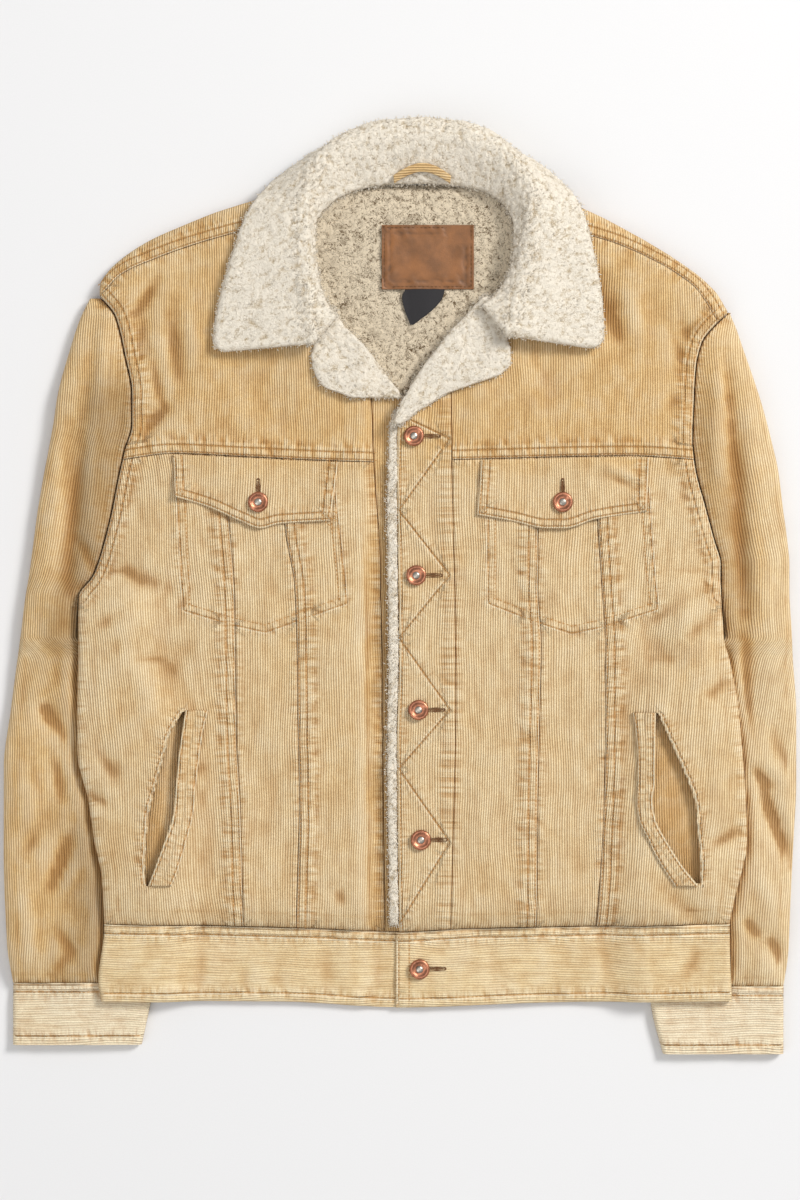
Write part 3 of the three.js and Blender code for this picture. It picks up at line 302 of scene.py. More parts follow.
BUTTONS = (
    ("button_1", 12, 130, "placket"), ("button_2", 14, 10, "placket"),
    ("button_3", 16, -106, "placket"), ("button_4", 18, -218, "placket"),
    ("button_band", 17, -331, "band"), ("button_flap_right", -122, 73, "flap"),
    ("button_flap_left", 140, 73, "flap"),
)
HOLES_ON = {
    "button_band": "waistband_left_cloth", "button_flap_right": "flap_right_cloth",
    "button_flap_left": "flap_left_cloth",
}
# Finer folds than the solids have. A negative rise is a trough.
FINE_BODY_FOLDS = table(
    "fromX fromY toX toY width rise",
    (-208, 265, -233, 231, 4, -1.6), (-214, 201, -205, 152, 5, -2.2), (-205, 152, -221, 137, 5, -1.8),
    (-183, 240, -176, 196, 6, 1.4), (165, 280, 176, 224, 6, -2.2), (196, 265, 205, 215, 7, 1.6),
    (245, 226, 252, 214, 4, -1.8), (228, 150, 244, 168, 5, -1.2), (-260, -137, -238, -176, 6, -2),
    (-273, -176, -250, -188, 4, -1.6), (-246, -140, -214, -98, 7, 1.6), (-262, -60, -225, -40, 7, -1.4),
    (244, -46, 275, -21, 6, -2.2), (264, -224, 296, -208, 5, -2), (230, -262, 262, -290, 7, -2.2),
    (262, -96, 286, -78, 6, -1.8), (-24, -8, -27, -64, 5, -1.8), (-55, -259, -47, -277, 5, -1.5),
    (-62, 8, -66, -90, 12, 1.0), (80, -150, 72, -240, 12, 1.0), (-168, 20, -176, -70, 10, 1.2),
    (196, 10, 204, -60, 10, 1.2), (96, -60, 92, -130, 9, -0.9), (-112, -150, -118, -230, 8, -0.9),
    (-235, -20, -262, -36, 6, -1.8), (-228, 92, -246, 60, 6, -1.4), (240, 96, 258, 60, 6, -1.6),
    (-176, -40, -205, -84, 8, -1.2), (206, -34, 236, -70, 8, -1.4), (-60, 240, -98, 170, 12, 1.1),
    (-130, 190, -112, 150, 9, -1.1), (120, 196, 136, 150, 9, -1.2), (64, 190, 70, 140, 8, 0.9),
)
BAND_FOLDS = table(
    "fromX fromY toX toY width rise",
    (244, -342, 262, -308, 6, -1.6), (-212, -350, -196, -306, 7, -0.9), (-120, -348, -128, -304, 8, 0.8),
    (86, -350, 80, -304, 8, -0.7), (170, -348, 160, -304, 7, 0.8), (-60, -350, -64, -310, 6, -0.7),
)
FINE_SLEEVE_FOLDS = table(
    "fromX fromY toX toY width rise",
    (-261, 241, -272, 150, 5, -2.2), (-272, 150, -290, -3, 5, -2.6), (-258, 150, -262, 75, 5, -2),
    (-292, 200, -303, 60, 8, 1.8), (-300, 30, -310, -90, 9, 1.6), (-276, 40, -262, 10, 4, -2.4),
    (-312, -101, -300, -120, 4, -2.2), (-296, -154, -292, -182, 4, -2.2),
    (-287, -226, -298, -254, 5, -2.6), (-282, -240, -292, -262, 4, 1.4),
    (-296, -296, -282, -322, 4, -1.8), (-310, -200, -326, -240, 6, -1.6),
    (-318, -60, -330, -110, 7, -1.6), (-330, -260, -316, -320, 6, 1.4), (-290, -60, -284, -95, 5, 1.5),
    (-325, -160, -318, -205, 7, 1.4), (280, 204, 286, 137, 4, -2.6), (286, 137, 296, 66, 5, -3),
    (292, 66, 298, -24, 5, -3), (298, -24, 300, -126, 5, -2.6), (300, 180, 312, 60, 8, 1.8),
    (310, 20, 322, -90, 8, 1.6), (300, -154, 326, -176, 5, -2.4), (314, -176, 339, -240, 5, -2.8),
    (296, -286, 312, -304, 5, -2.2), (320, -120, 336, -158, 6, -1.8), (292, -190, 304, -226, 5, 1.5),
    (306, -236, 322, -284, 6, 1.5), (322, -300, 334, -334, 5, -1.4), (268, 150, 272, 100, 5, 1.6),
)
CHEST_POCKETS = {
    "right": table("x y", (-192, 84), (-187, -20), (-143, -33), (-116, -39), (-91, -30), (-46, -14),
                   (-49, 17), (-57, 84)),
    "left": table("x y", (76, 84), (76, -14), (120, -31), (148, -40), (176, -34), (222, -19),
                  (218, 20), (214, 84)),
}
FLAP_CREASE = table(
    "fromX fromY toX toY width rise",
    (172, 106, 206, 92, 6, 2.2), (180, 96, 210, 84, 5, -1.6),
)
NECK_PATCH = {"x": 24, "y": 285, "width": 80, "height": 56, "thickness": 1.4}


def clamp01(t):
    """Numbers held between 0 and 1."""
    return np.clip(t, 0.0, 1.0)


def mix(a, b, t):
    """From a at 0 to b at 1."""
    return a + (b - a) * t


def smooth(t):
    """A step from 0 to 1 that starts and ends level."""
    t = clamp01(t)
    return t * t * (3 - 2 * t)


def quarter_round(t):
    """A step from 0 to 1 that starts upright and ends level."""
    return np.sqrt(1 - (1 - clamp01(t)) ** 2)


def constant(value):
    """A straight edge, the same value everywhere."""
    return lambda q: np.full_like(np.asarray(q, float), value)


def curve(rows, at, value):
    """One column of a table as a smooth function of another, level past both ends."""
    order = np.argsort(rows[at])
    a, v = rows[at][order], rows[value][order]
    slope = np.diff(v) / np.diff(a)
    product = slope[1:] * slope[:-1]
    total = slope[1:] + slope[:-1]
    inner = np.where(product > 0, 2 * product / np.where(total == 0, 1, total), 0)
    tangent = np.concatenate([slope[:1], inner, slope[-1:]])

    def value_at(q):
        q = np.clip(np.asarray(q, float), a[0], a[-1])
        i = np.clip(np.searchsorted(a, q) - 1, 0, len(a) - 2)
        step = a[i + 1] - a[i]
        t = (q - a[i]) / step
        return (v[i] * (1 + 2 * t) * (1 - t) ** 2 + tangent[i] * step * t * (1 - t) ** 2
                + v[i + 1] * t * t * (3 - 2 * t) + tangent[i + 1] * step * t * t * (t - 1))

    return value_at


right_edge = curve(RIGHT_EDGE, "y", "x")
left_edge = curve(LEFT_EDGE, "y", "x")
top_line = curve(TOP_LINE, "x", "y")
shoulder_seam = curve(SHOULDER_SEAM, "x", "y")
yoke_seam = curve(YOKE_SEAM, "x", "y")
band_seam = curve(BAND_SEAM, "x", "y")
hem = curve(HEM, "x", "y")
right_front_edge = curve(RIGHT_FRONT_EDGE, "y", "x")
left_front_edge = curve(LEFT_FRONT_EDGE, "y", "x")
left_yoke_edge = curve(LEFT_YOKE_EDGE, "y", "x")
placket_seam = curve(PLACKET_SEAM, "y", "x")
front_seam = {name: curve(FRONT_SEAMS, "y", name) for name in FRONT_SEAMS if name != "y"}
body_rise = curve(BODY_LIFT, "y", "rise")


def sleeve_side(sign, sleeve, cuff, edge):
    """The lines of one sleeve and its cuff."""
    cut = curve(sleeve, "y", "inner")

    def inner(y):
        """The sleeve's inner edge, drawn up to the body where it is sewn to it."""
        return sign * np.minimum(sign * cut(y), sign * edge(y) + 0.3)

    return {
        "sign": sign, "edge": edge, "outer": curve(sleeve, "y", "outer"),
        "inner": inner, "top": sleeve["y"][0], "cuff_top": cuff["y"][0],
        "cuff_end": cuff["y"][-1], "cuff_outer": curve(cuff, "y", "outer"),
        "cuff_inner": curve(cuff, "y", "inner"),
    }


SIDES = {
    "right": sleeve_side(-1, RIGHT_SLEEVE, RIGHT_CUFF, right_edge),
    "left": sleeve_side(1, LEFT_SLEEVE, LEFT_CUFF, left_edge),
}


def lattice_noise(x, y, seed=0):
    """Smooth noise from -1 to 1 with one value for each whole step."""
    rng = np.random.default_rng(seed)
    values = rng.uniform(-1, 1, (64, 64))
    x, y = np.asarray(x, float), np.asarray(y, float)
    i, j = np.floor(x).astype(int), np.floor(y).astype(int)
    u, v = x - i, y - j
    u, v = u * u * (3 - 2 * u), v * v * (3 - 2 * v)
    i, j = i % 64, j % 64
    i2, j2 = (i + 1) % 64, (j + 1) % 64
    return mix(mix(values[i, j], values[i2, j], u), mix(values[i, j2], values[i2, j2], u), v)


def curl_distance(points, size, seed):
    """How far each point is from the nearest of one scattered centre a cell, in cells."""
    rng = np.random.default_rng(seed)
    centres = rng.uniform(0.1, 0.9, (32, 32, 32, 3))
    cell = points / size
    base = np.floor(cell).astype(int)
    best = np.full(len(points), 9.0)
    for dx in (-1, 0, 1):
        for dy in (-1, 0, 1):
            for dz in (-1, 0, 1):
                near = base + (dx, dy, dz)
                wrapped = near % 32
                centre = near + centres[wrapped[:, 0], wrapped[:, 1], wrapped[:, 2]]
                best = np.minimum(best, np.linalg.norm(cell - centre, axis=1))
    return best


def fold_rise(folds, x, y, spread=1.0):
    """How far the folds of a table, widened by spread, raise the surface."""
    total = np.zeros(np.broadcast(x, y).shape)
    for from_x, from_y, to_x, to_y, width, rise in zip(*folds.values()):
        along_x, along_y = to_x - from_x, to_y - from_y
        t = ((x - from_x) * along_x + (y - from_y) * along_y) / (along_x**2 + along_y**2)
        t = clamp01(t)
        off = np.hypot(x - from_x - t * along_x, y - from_y - t * along_y)
        total += rise * np.sin(np.pi * mix(0.12, 0.88, t)) * np.exp(-((off / (spread * width)) ** 2))
    return total


def lift(x, y):
    """How high the body rides on the sleeves that lie under it."""
    rises = []
    for side in SIDES.values():
        hidden = side["inner"](np.minimum(y, -62))
        inside = (side["sign"] * (x - hidden) + LIFT_SLOPE) / LIFT_SLOPE
        rises.append(body_rise(y) * smooth(inside))
    return np.maximum(*rises)


def side_distance(x, y):
    """How far the body's nearer side is, negative outside."""
    return np.minimum(x - right_edge(y), left_edge(y) - x)


def side_share(y):
    """How thick the body is at its sides, as a share of its loft."""
    return mix(EDGE_SHARE, ARMHOLE_SHARE, smooth((y - ARMPIT) / ARMPIT_FADE))


def fullness(x, y):
    """The body's thickness as a share of its loft, 1 away from its borders."""
    at_side = (side_share(y) - EDGE_SHARE) / (1 - EDGE_SHARE)
    side = mix(at_side, 1, quarter_round(side_distance(x, y) / SIDE_ROUND))
    low = quarter_round((y - band_seam(x)) / HEM_ROUND)
    high = quarter_round((top_line(x) - y) / SHOULDER_ROUND)
    return EDGE_SHARE + (1 - EDGE_SHARE) * side * low * high


def body_under(x, y):
    """The body's underside, tucked up along its sides."""
    return lift(x, y) + EDGE_TUCK * (1 - quarter_round(side_distance(x, y) / TUCK_WIDTH))


def back_top(x, y):
    """The upper side of the back's wall."""
    return lift(x, y) + BACK_WALL * fullness(x, y)


def lap_top(x, y):
    """The upper side of the right front where the left one laps over it."""
    return lift(x, y) + LOFT * LAP_SHARE * fullness(x, y)


def front_top(x, y):
    """The upper side of the fronts, with their larger folds."""
    full = fullness(x, y)
    soaked = lift(x, y) * (1 - LIFT_SOAK * (full - EDGE_SHARE))
    return soaked + LOFT * full + fold_rise(BODY_FOLDS, x, y) * smooth((full - EDGE_SHARE) * 3)


def right_top(x, y):
    """The upper side of the right front, which sinks under the lap."""
    return mix(front_top(x, y), lap_top(x, y), smooth((x - LAP_START) / LAP_WIDTH))


def left_low(x, y):
    """The underside of the left front."""
    step = smooth((x - LEFT_STEP) / LEFT_STEP_WIDTH)
    return mix(lap_top(x, y), back_top(x, y), step) + GAP


def right_low(x, y):
    """The underside of whatever lies on the back with a gap."""
    return back_top(x, y) + GAP


def sleeve_under(side, x, y):
    """The sleeve's underside, lifted along its outer fold."""
    from_outer = side["sign"] * (side["outer"](y) - x)
    return SLEEVE_FOLD_LIFT * (1 - quarter_round(from_outer / SLEEVE_ROUND))


def sleeve_top(side, x, y):
    """The sleeve's upper side, kept below the body where that covers it."""
    sign = side["sign"]
    at_armhole = (LOFT * side_share(y) - EDGE_HEIGHT) / (SLEEVE_LOFT - EDGE_HEIGHT)
    full = (
        quarter_round(sign * (side["outer"](y) - x) / SLEEVE_ROUND)
        * mix(at_armhole, 1, quarter_round(sign * (x - side["inner"](y)) / SLEEVE_ROUND))
        * quarter_round((y - side["cuff_top"]) / HEM_ROUND)
        * quarter_round((side["top"] - y) / SHOULDER_ROUND)
    )
    fine = fold_rise(FINE_SLEEVE_FOLDS, x, y, FINE_FOLD_SPREAD)
    folds = fold_rise(SLEEVE_FOLDS, x, y) + FOLD_STRENGTH * fine
    wander = lattice_noise(x / 34, y / 52, 5) + 0.5 * lattice_noise(x / 15, y / 24, 6)
    free = EDGE_HEIGHT + (SLEEVE_LOFT - EDGE_HEIGHT) * full + (folds + wander) * smooth(2 * full)
    outside = sign * (x - side["edge"](y))
    roof = np.where(
        outside > 0,
        lift(side["edge"](y), y) + EDGE_TUCK - 2 * GAP + 0.9 * np.maximum(outside - 1, 0),
        body_under(x, y) - 2 * GAP,
    )
    covered = side["inner"](y) * sign < side["edge"](y) * sign
    return np.where(covered, np.minimum(free, roof), free)


def steps(length, cell, fine_start=14, fine_end=14):
    """Shares from 0 to 1 for cells of about one size, finer for some way in from each end."""
    rim = np.array([0, 0.35, 0.8, 1.5, 2.6])
    fine_start, fine_end = (min(fine, length / 2) for fine in (fine_start, fine_end))
    start = np.concatenate([rim, np.arange(3.8, fine_start, 1.3)])
    end = np.concatenate([rim, np.arange(3.8, fine_end, 1.3)])
    room = length - start[-1] - end[-1]
    count = max(int(round(room / cell)), 2)
    middle = start[-1] + room * np.arange(1, count) / count
    return np.concatenate([start, middle, (length - end)[::-1]]) / length


def plan_grid(right, left, top, bottom, across, down):
    """Plan points between a right and a left edge, x(y), and a top and a bottom one, y(x)."""
    u = across[None, :]
    v = down[:, None]
    x = np.zeros((v.size, u.size))
    y = np.broadcast_to(mix(top(x), bottom(x), v), x.shape)
    for _ in range(40):
        x = mix(x, mix(right(y) + GAP / 2, left(y) - GAP / 2, u), 0.5)
        y = mix(y, mix(top(x) - GAP / 2, bottom(x) + GAP / 2, v), 0.8)
    return x, y


def line_along(seam_x, low, high, count=60):
    """A line down the cloth where x is a function of y."""
    y = np.linspace(high, low, count)
    return np.stack([seam_x(y), y], 1)


def line_across(seam_y, low, high, count=60):
    """A line across the cloth where y is a function of x."""
    x = np.linspace(low, high, count)
    return np.stack([x, seam_y(x)], 1)


def to_line(line, x, y):
    """Signed distance to a line of points, positive on its left, and how far along it lies."""
    start, end = line[:-1], line[1:]
    step = end - start
    length = np.hypot(*step.T)
    along = np.concatenate([[0], np.cumsum(length)])
    best = np.full(x.shape, 1e9)
    signed = np.zeros(x.shape)
    place = np.zeros(x.shape)
    for k in range(len(step)):
        dx, dy = x - start[k, 0], y - start[k, 1]
        t = clamp01((dx * step[k, 0] + dy * step[k, 1]) / max(length[k] ** 2, 1e-9))
        off = np.hypot(dx - t * step[k, 0], dy - t * step[k, 1])
        side = np.sign(step[k, 0] * dy - step[k, 1] * dx)
        nearer = off < best
        best = np.where(nearer, off, best)
        signed = np.where(nearer, np.where(side == 0, 1, side) * off, signed)
        place = np.where(nearer, along[k] + t * length[k], place)
    return signed, place


class Seam:
    """A sewn line: cloth is raised on one side of it and each row of stitches pulls it in."""

    def __init__(self, line, rows, width=0, side=1, rise=0.8, seed=0):
        self.line = line
        self.rows = rows
        self.width = width
        self.side = side
        self.rise = rise
        self.seed = seed

    def relief(self, x, y):
        """Height that the seam adds, and its marks for the cloth's look."""
        signed, place = to_line(self.line, x, y)
        d = signed * self.side
        middle = self.width / 2
        height = np.zeros(x.shape)
        if self.width:
            height += self.rise * smooth(d / 1.2) * (1 - smooth((d - self.width + 1.5) / 2.5))
            height -= DITCH_DEPTH * np.exp(-((d / DITCH_WIDTH) ** 2))
        for row in self.rows:
            height -= ROW_DEPTH * np.exp(-(((d - row) / ROW_WIDTH) ** 2))
        near = np.exp(-((np.maximum(np.abs(d - middle) - middle, 0) / GATHER_REACH) ** 2))
        gathers = lattice_noise(place / 5.4 + 0.1 * d, d / 18, self.seed)
        gathers += 0.7 * lattice_noise(place / 9, d / 16, self.seed + 7)
        height += GATHER_HEIGHT * near * gathers
        row_a, row_b = [d - row for row in self.rows] + [np.full(x.shape, NO_ROW)] * (2 - len(self.rows))
        return height, {"seam": near, "along": place + 97 * self.seed, "row_a": row_a, "row_b": row_b}


def wrinkles(x, y, seed):
    """The soft unevenness of washed cloth."""
    broad = lattice_noise(x / 46, y / 70, seed) + 0.6 * lattice_noise(x / 22, y / 34, seed + 1)
    return 1.15 * broad + 0.36 * lattice_noise(x / 9, y / 13, seed + 2)


def with_seams(surface, seams, folds=None, seed=1):
    """A surface with its seams sewn in: returns height and the marks of the nearest seam."""

    def height(x, y):
        z = surface(x, y) + wrinkles(x, y, seed)
        if folds is not None:
            z = z + FOLD_STRENGTH * fold_rise(folds, x, y, FINE_FOLD_SPREAD)
        marks = {"seam": np.zeros(x.shape), "along": np.zeros(x.shape),
                 "row_a": np.full(x.shape, NO_ROW), "row_b": np.full(x.shape, NO_ROW)}
        for seam in seams:
            rise, found = seam.relief(x, y)
            z = z + rise
            nearer = found["seam"] > marks["seam"]
            for key, values in found.items():
                marks[key] = np.where(nearer, values, marks[key])
        return z, marks

    return height


def folded(x, y, *tables):
    """Light on folds and dark in troughs, from -1 to 1."""
    total = sum((fold_rise(folds, x, y) for folds in tables), np.zeros(x.shape))
    return np.clip(total / SHADED_FOLD, -1, 1)


def body_wash_and_shade(x, y):
    """The body's wash and shade: near 1, lighter, below the yokes, and near -1 by the lap, where it is
    painted shade as the right front sinks under the lap.
    """
    below = smooth((yoke_seam(x) + 6 - y) / 30)
    start = -36 + 6 * lattice_noise(y / 23, y / 60, 8)
    lap = smooth((x - start) / 22) * smooth((2 - x) / 5) * smooth((112 - y) / 20)
    return below * 0.9 - 1.5 * lap


def unfaded(x, y):
    """No wash and no painted shade, for cloth that is worn evenly."""
    return np.zeros_like(x)


def fully_faded(x, y):
    """Washed out all over, with no painted shade."""
    return np.ones_like(x)


def rim_distance(x, y):
    """Each grid point's distance in plan to the grid's nearest border."""
    def run(axis):
        step = np.hypot(np.diff(x, axis=axis), np.diff(y, axis=axis))
        start = np.zeros_like(np.take(step, [0], axis))
        forward = np.concatenate([start, np.cumsum(step, axis)], axis)
        return np.minimum(forward, np.take(forward, [-1], axis) - forward)

    return np.minimum(run(0), run(1))


def rolled(distance, radius):
    """How far a rounded rim lies below the surface."""
    return radius * (1 - quarter_round(distance / radius))


def blurred(z, passes=4):
    """Heights evened out with those around them."""
    for _ in range(passes):
        wide = np.pad(z, 1, mode="edge")
        z = (wide[:-2, 1:-1] + wide[2:, 1:-1] + wide[1:-1, :-2] + wide[1:-1, 2:] + 2 * z) / 6
    return z


def mark_look(marks, z, shade, wash_and_shade):
    """Adds the marks that paint light and shade on the cloth, from its small relief and its folds, and
    how washed out it is, which is painted shade where it is below 0.
    """
    marks["tone"] = np.clip((z - blurred(z)) / FULL_TONE, -1, 1)
    marks["shade"] = shade
    marks["wash_and_shade"] = wash_and_shade


def grid_faces(rows, columns, start=0, flip=False):
    """The quads of a grid of points."""
    r, c = np.meshgrid(np.arange(rows - 1), np.arange(columns - 1), indexing="ij")
    a = (start + r * columns + c).ravel()
    quads = np.stack([a, a + columns, a + columns + 1, a + 1], 1)
    return quads[:, ::-1] if flip else quads


def rim_faces(rows, columns):
    """Quads that join the borders of two grids, the second one numbered after the first."""
    grid = np.arange(rows * columns).reshape(rows, columns)
    loop = np.concatenate([grid[0, :-1], grid[:-1, -1], grid[-1, :0:-1], grid[:0:-1, 0]])
    after = np.roll(loop, -1)
    other = rows * columns
    return np.stack([loop, after, after + other, loop + other], 1)


def unit(vectors):
    """Vectors scaled to a length of 1."""
    return vectors / np.linalg.norm(vectors, axis=-1, keepdims=True)


def make_mesh(name, points, quads, uv=None, smooth_faces=True, **values):
    """A mesh in metres from points in millimetres, with float values on its points."""
    mesh = bpy.data.meshes.new(name)
    mesh.vertices.add(len(points))
    above = np.maximum(points, (-np.inf, -np.inf, 0))
    mesh.vertices.foreach_set("co", (above * MM).ravel())
    mesh.loops.add(quads.size)
    mesh.loops.foreach_set("vertex_index", quads.ravel().astype(np.int32))
    mesh.polygons.add(len(quads))
    mesh.polygons.foreach_set("loop_start", np.arange(len(quads), dtype=np.int32) * quads.shape[1])
    mesh.polygons.foreach_set("use_smooth", np.full(len(quads), smooth_faces))
    mesh.update(calc_edges=True)
    if uv is not None:
        layer = mesh.uv_layers.new(name="Cloth")
        layer.data.foreach_set("uv", (uv[quads.ravel()] * MM).ravel())
    for key, numbers in values.items():
        mesh.attributes.new(key, "FLOAT", "POINT").data.foreach_set("value", numbers.ravel())
    mesh.validate()
    volume = bmesh.new()
    volume.from_mesh(mesh)
    if volume.calc_volume(signed=True) < 0:
        bmesh.ops.reverse_faces(volume, faces=volume.faces)
        volume.to_mesh(mesh)
    volume.free()
    piece = bpy.data.objects.new(name, mesh)
    bpy.context.scene.collection.objects.link(piece)
    return piece


def slab(name, upper, lower, uv, turned=False, **values):
    """A closed piece between two grids of points. The values are those of both grids' points."""
    rows, columns = upper.shape[:2]
    quads = np.concatenate([
        grid_faces(rows, columns), grid_faces(rows, columns, rows * columns, flip=True),
        rim_faces(rows, columns),
    ])
    points = np.concatenate([upper.reshape(-1, 3), lower.reshape(-1, 3)])
    return make_mesh(name, points, quads[:, ::-1] if turned else quads,
                     np.concatenate([uv.reshape(-1, 2)] * 2), **values)


def hole_faces(hole, x, y, quads):
    """Opens a hole in a grid: points near its outline move onto it, and the faces inside go.

    Returns the kept faces and the walls that join the upper rim of the hole to the lower one.
    """
    closed = np.concatenate([hole, hole[:1]])
    middle_x = x.ravel()[quads].mean(1)
    middle_y = y.ravel()[quads].mean(1)
    gone = inside_outline(hole, middle_x, middle_y)
    rim = set()
    for quad in quads[gone]:
        for a, b in zip(quad, np.roll(quad, -1)):
            if (b, a) in rim:
                rim.remove((b, a))
            else:
                rim.add((a, b))
    flat_x, flat_y = x.ravel(), y.ravel()
    for index in {a for edge in rim for a in edge}:
        here = np.array([flat_x[index], flat_y[index]])
        start, step = closed[:-1], np.diff(closed, axis=0)
        t = clamp01(((here - start) * step).sum(1) / np.maximum((step**2).sum(1), 1e-9))
        foot = start + t[:, None] * step
        flat_x[index], flat_y[index] = foot[np.argmin(((foot - here) ** 2).sum(1))]
    edges = np.array(sorted(rim))
    walls = np.stack([edges[:, 0], edges[:, 1], edges[:, 1] + x.size, edges[:, 0] + x.size], 1)
    return quads[~gone], walls


def shell(name, x, y, top, low, marks, wales="down", hole=None, lean=0.0):
    """A closed piece of cloth between two heights over a grid of plan points."""
    rows, columns = x.shape
    upper = grid_faces(rows, columns)
    walls = rim_faces(rows, columns)
    if hole is not None:
        upper, hole_walls = hole_faces(hole, x, y, upper)
        walls = np.concatenate([walls, hole_walls])
    uv = np.stack([x + lean * y, y] if wales == "down" else [y, x], -1).reshape(-1, 2)
    points = np.concatenate([
        np.stack([x, y, top], -1).reshape(-1, 3),
        np.stack([x, y, low], -1).reshape(-1, 3),
    ])
    quads = np.concatenate([upper, upper[:, ::-1] + rows * columns, walls])
    used = np.unique(quads)
    new_index = np.full(len(points), -1)
    new_index[used] = np.arange(len(used))
    both = {key: np.concatenate([values.ravel(), values.ravel()])[used] for key, values in marks.items()}
    return make_mesh(name, points[used], new_index[quads], np.concatenate([uv, uv])[used], **both)


def finish_piece(piece, material, nodes=()):
    """Gives a piece its material and body, and hides the nodes that it replaces."""
    piece.data.materials.append(material)
    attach(piece, "root")
    if nodes:
        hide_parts(*nodes)
    return piece


def plan_area(x, y):
    """The flat area of a grid, in square metres, from its corner points in plan."""
    a = np.stack([x[:-1, :-1], y[:-1, :-1]]) - np.stack([x[1:, 1:], y[1:, 1:]])
    b = np.stack([x[1:, :-1], y[1:, :-1]]) - np.stack([x[:-1, 1:], y[:-1, 1:]])
    return float(np.abs(a[0] * b[1] - a[1] * b[0]).sum() / 2) * MM * MM


# Each seam's line, the distances of its rows of stitches, the width that is raised and its side
SEAM_LINES = {
    "outer_right": Seam(line_along(front_seam["rightOuter"], -296, 112), TWIN_ROWS, 13, -1, seed=11),
    "inner_right": Seam(line_along(front_seam["rightInner"], -296, 112), TWIN_ROWS, 13, 1, seed=12),
    "inner_left": Seam(line_along(front_seam["leftInner"], -296, 112), TWIN_ROWS, 13, -1, seed=13),
    "outer_left": Seam(line_along(front_seam["leftOuter"], -296, 112), TWIN_ROWS, 13, 1, seed=14),
    "yoke_right": Seam(line_across(yoke_seam, -238, -18), TWIN_ROWS, 12, 1, seed=15),
    "yoke_left": Seam(line_across(yoke_seam, 45, 254), TWIN_ROWS, 12, 1, seed=16),
    "shoulder_right": Seam(line_across(shoulder_seam, -256, -84), TWIN_ROWS, 12, 1, seed=17),
    "shoulder_left": Seam(line_across(shoulder_seam, 100, 272), TWIN_ROWS, 12, 1, seed=18),
    "armhole_right": Seam(line_along(right_edge, -6, 252), (2.4, 8.6), 12, 1, rise=0.9, seed=19),
    "armhole_left": Seam(line_along(left_edge, -6, 236), (2.4, 8.6), 12, -1, rise=0.9, seed=20),
    "side_right": Seam(line_along(right_edge, -296, -6), (), 3, 1, rise=0.1, seed=21),
    "side_left": Seam(line_along(left_edge, -296, -6), (), 3, -1, rise=0.1, seed=22),
    "band_right": Seam(line_across(band_seam, -257, 36), (2,), 6, -1, rise=0.5, seed=23),
    "band_left": Seam(line_across(band_seam, -3, 286), (2,), 6, -1, rise=0.5, seed=24),
    "band_low_right": Seam(line_across(lambda x: hem(x) + 8, -255, 36), (0,), 0, 1, seed=25),
    "band_low_left": Seam(line_across(lambda x: hem(x) + 8, 0, 284), (0,), 0, 1, seed=26),
    "band_high_right": Seam(line_across(lambda x: band_seam(x) - 8, -255, 36), (0,), 0, 1, seed=27),
    "band_high_left": Seam(line_across(lambda x: band_seam(x) - 8, 0, 284), (0,), 0, 1, seed=28),
    "band_end": Seam(line_along(constant(-4), -360, -302), (3, 12), 0, 1, seed=29),
    "front_left": Seam(line_along(left_front_edge, -298, 174), (3,), 5, 1, rise=0.2, seed=30),
    "placket_left": Seam(line_along(placket_seam, -297, 174), (), 8, -1, rise=0.5, seed=31),
    "placket_right": Seam(line_along(right_front_edge, -292, 150), (), 3, -1, rise=0.2, seed=32),
    "pocket_right": Seam(np.stack(list(CHEST_POCKETS["right"].values()), 1), (0, 6), 0, 1, seed=33),
    "pocket_left": Seam(np.stack(list(CHEST_POCKETS["left"].values()), 1), (0, 6), 0, 1, seed=34),
    "mouth_right": Seam(line_along(curve(RIGHT_POCKET, "y", "far"), -255, -108), (3.2,), 4, -1, seed=35),
    "mouth_left": Seam(line_along(curve(LEFT_POCKET, "y", "far"), -255, -110), (3.2,), 4, 1, seed=36),
}
ZIGZAG = np.array([
    (11, 143), (43, 128), (-1, 66), (43, 10), (-1, -44), (43, -106), (-1, -157), (43, -220),
    (0, -290),
], float)
SEAM_LINES["zigzag"] = Seam(ZIGZAG, (0,), 1, 1, rise=0.1, seed=37)


def lengths(line):
    """How far along a line each of its points lies."""
    return np.concatenate([[0], np.cumsum(np.hypot(*np.diff(line, axis=0).T))])


def points_at(line, at):
    """The points of a line at given distances along it."""
    return np.stack([np.interp(at, lengths(line), line[:, k]) for k in (0, 1)], 1)


def headings(steps_in_plan):
    """Plan vectors scaled to a length of 1, also where one is nearly zero."""
    return steps_in_plan / np.maximum(np.hypot(*steps_in_plan.T), 1e-9)[:, None]


def offset_line(line, distance):
    """A line moved sideways, positive to its left, with its points at even steps."""
    total = lengths(line)[-1]
    line = points_at(line, np.linspace(0, total, max(int(total / OFFSET_STEP), 2)))
    tangent = headings(np.gradient(line, axis=0))
    return line + distance * np.stack([-tangent[:, 1], tangent[:, 0]], 1)


def stitch_places(line, spacing):
    """Middles and headings of the stitches along a line."""
    at = np.arange(spacing / 2, lengths(line)[-1], spacing)
    return points_at(line, at), headings(points_at(line, at + 0.5) - points_at(line, at - 0.5))


def inside_outline(outline, x, y):
    """Whether points lie inside a closed outline."""
    inside = np.zeros(x.shape, bool)
    for (ax, ay), (bx, by) in zip(outline, np.roll(outline, -1, axis=0)):
        crosses = (ay > y) != (by > y)
        with np.errstate(divide="ignore", invalid="ignore"):
            reach = ax + (y - ay) * (bx - ax) / (by - ay)
        inside ^= crosses & (x < reach)
    return inside


SPINDLE_FACES = np.array([
    (0, 1, 4), (1, 2, 4), (2, 3, 4), (3, 0, 4), (1, 0, 5), (2, 1, 5), (3, 2, 5), (0, 3, 5),
])


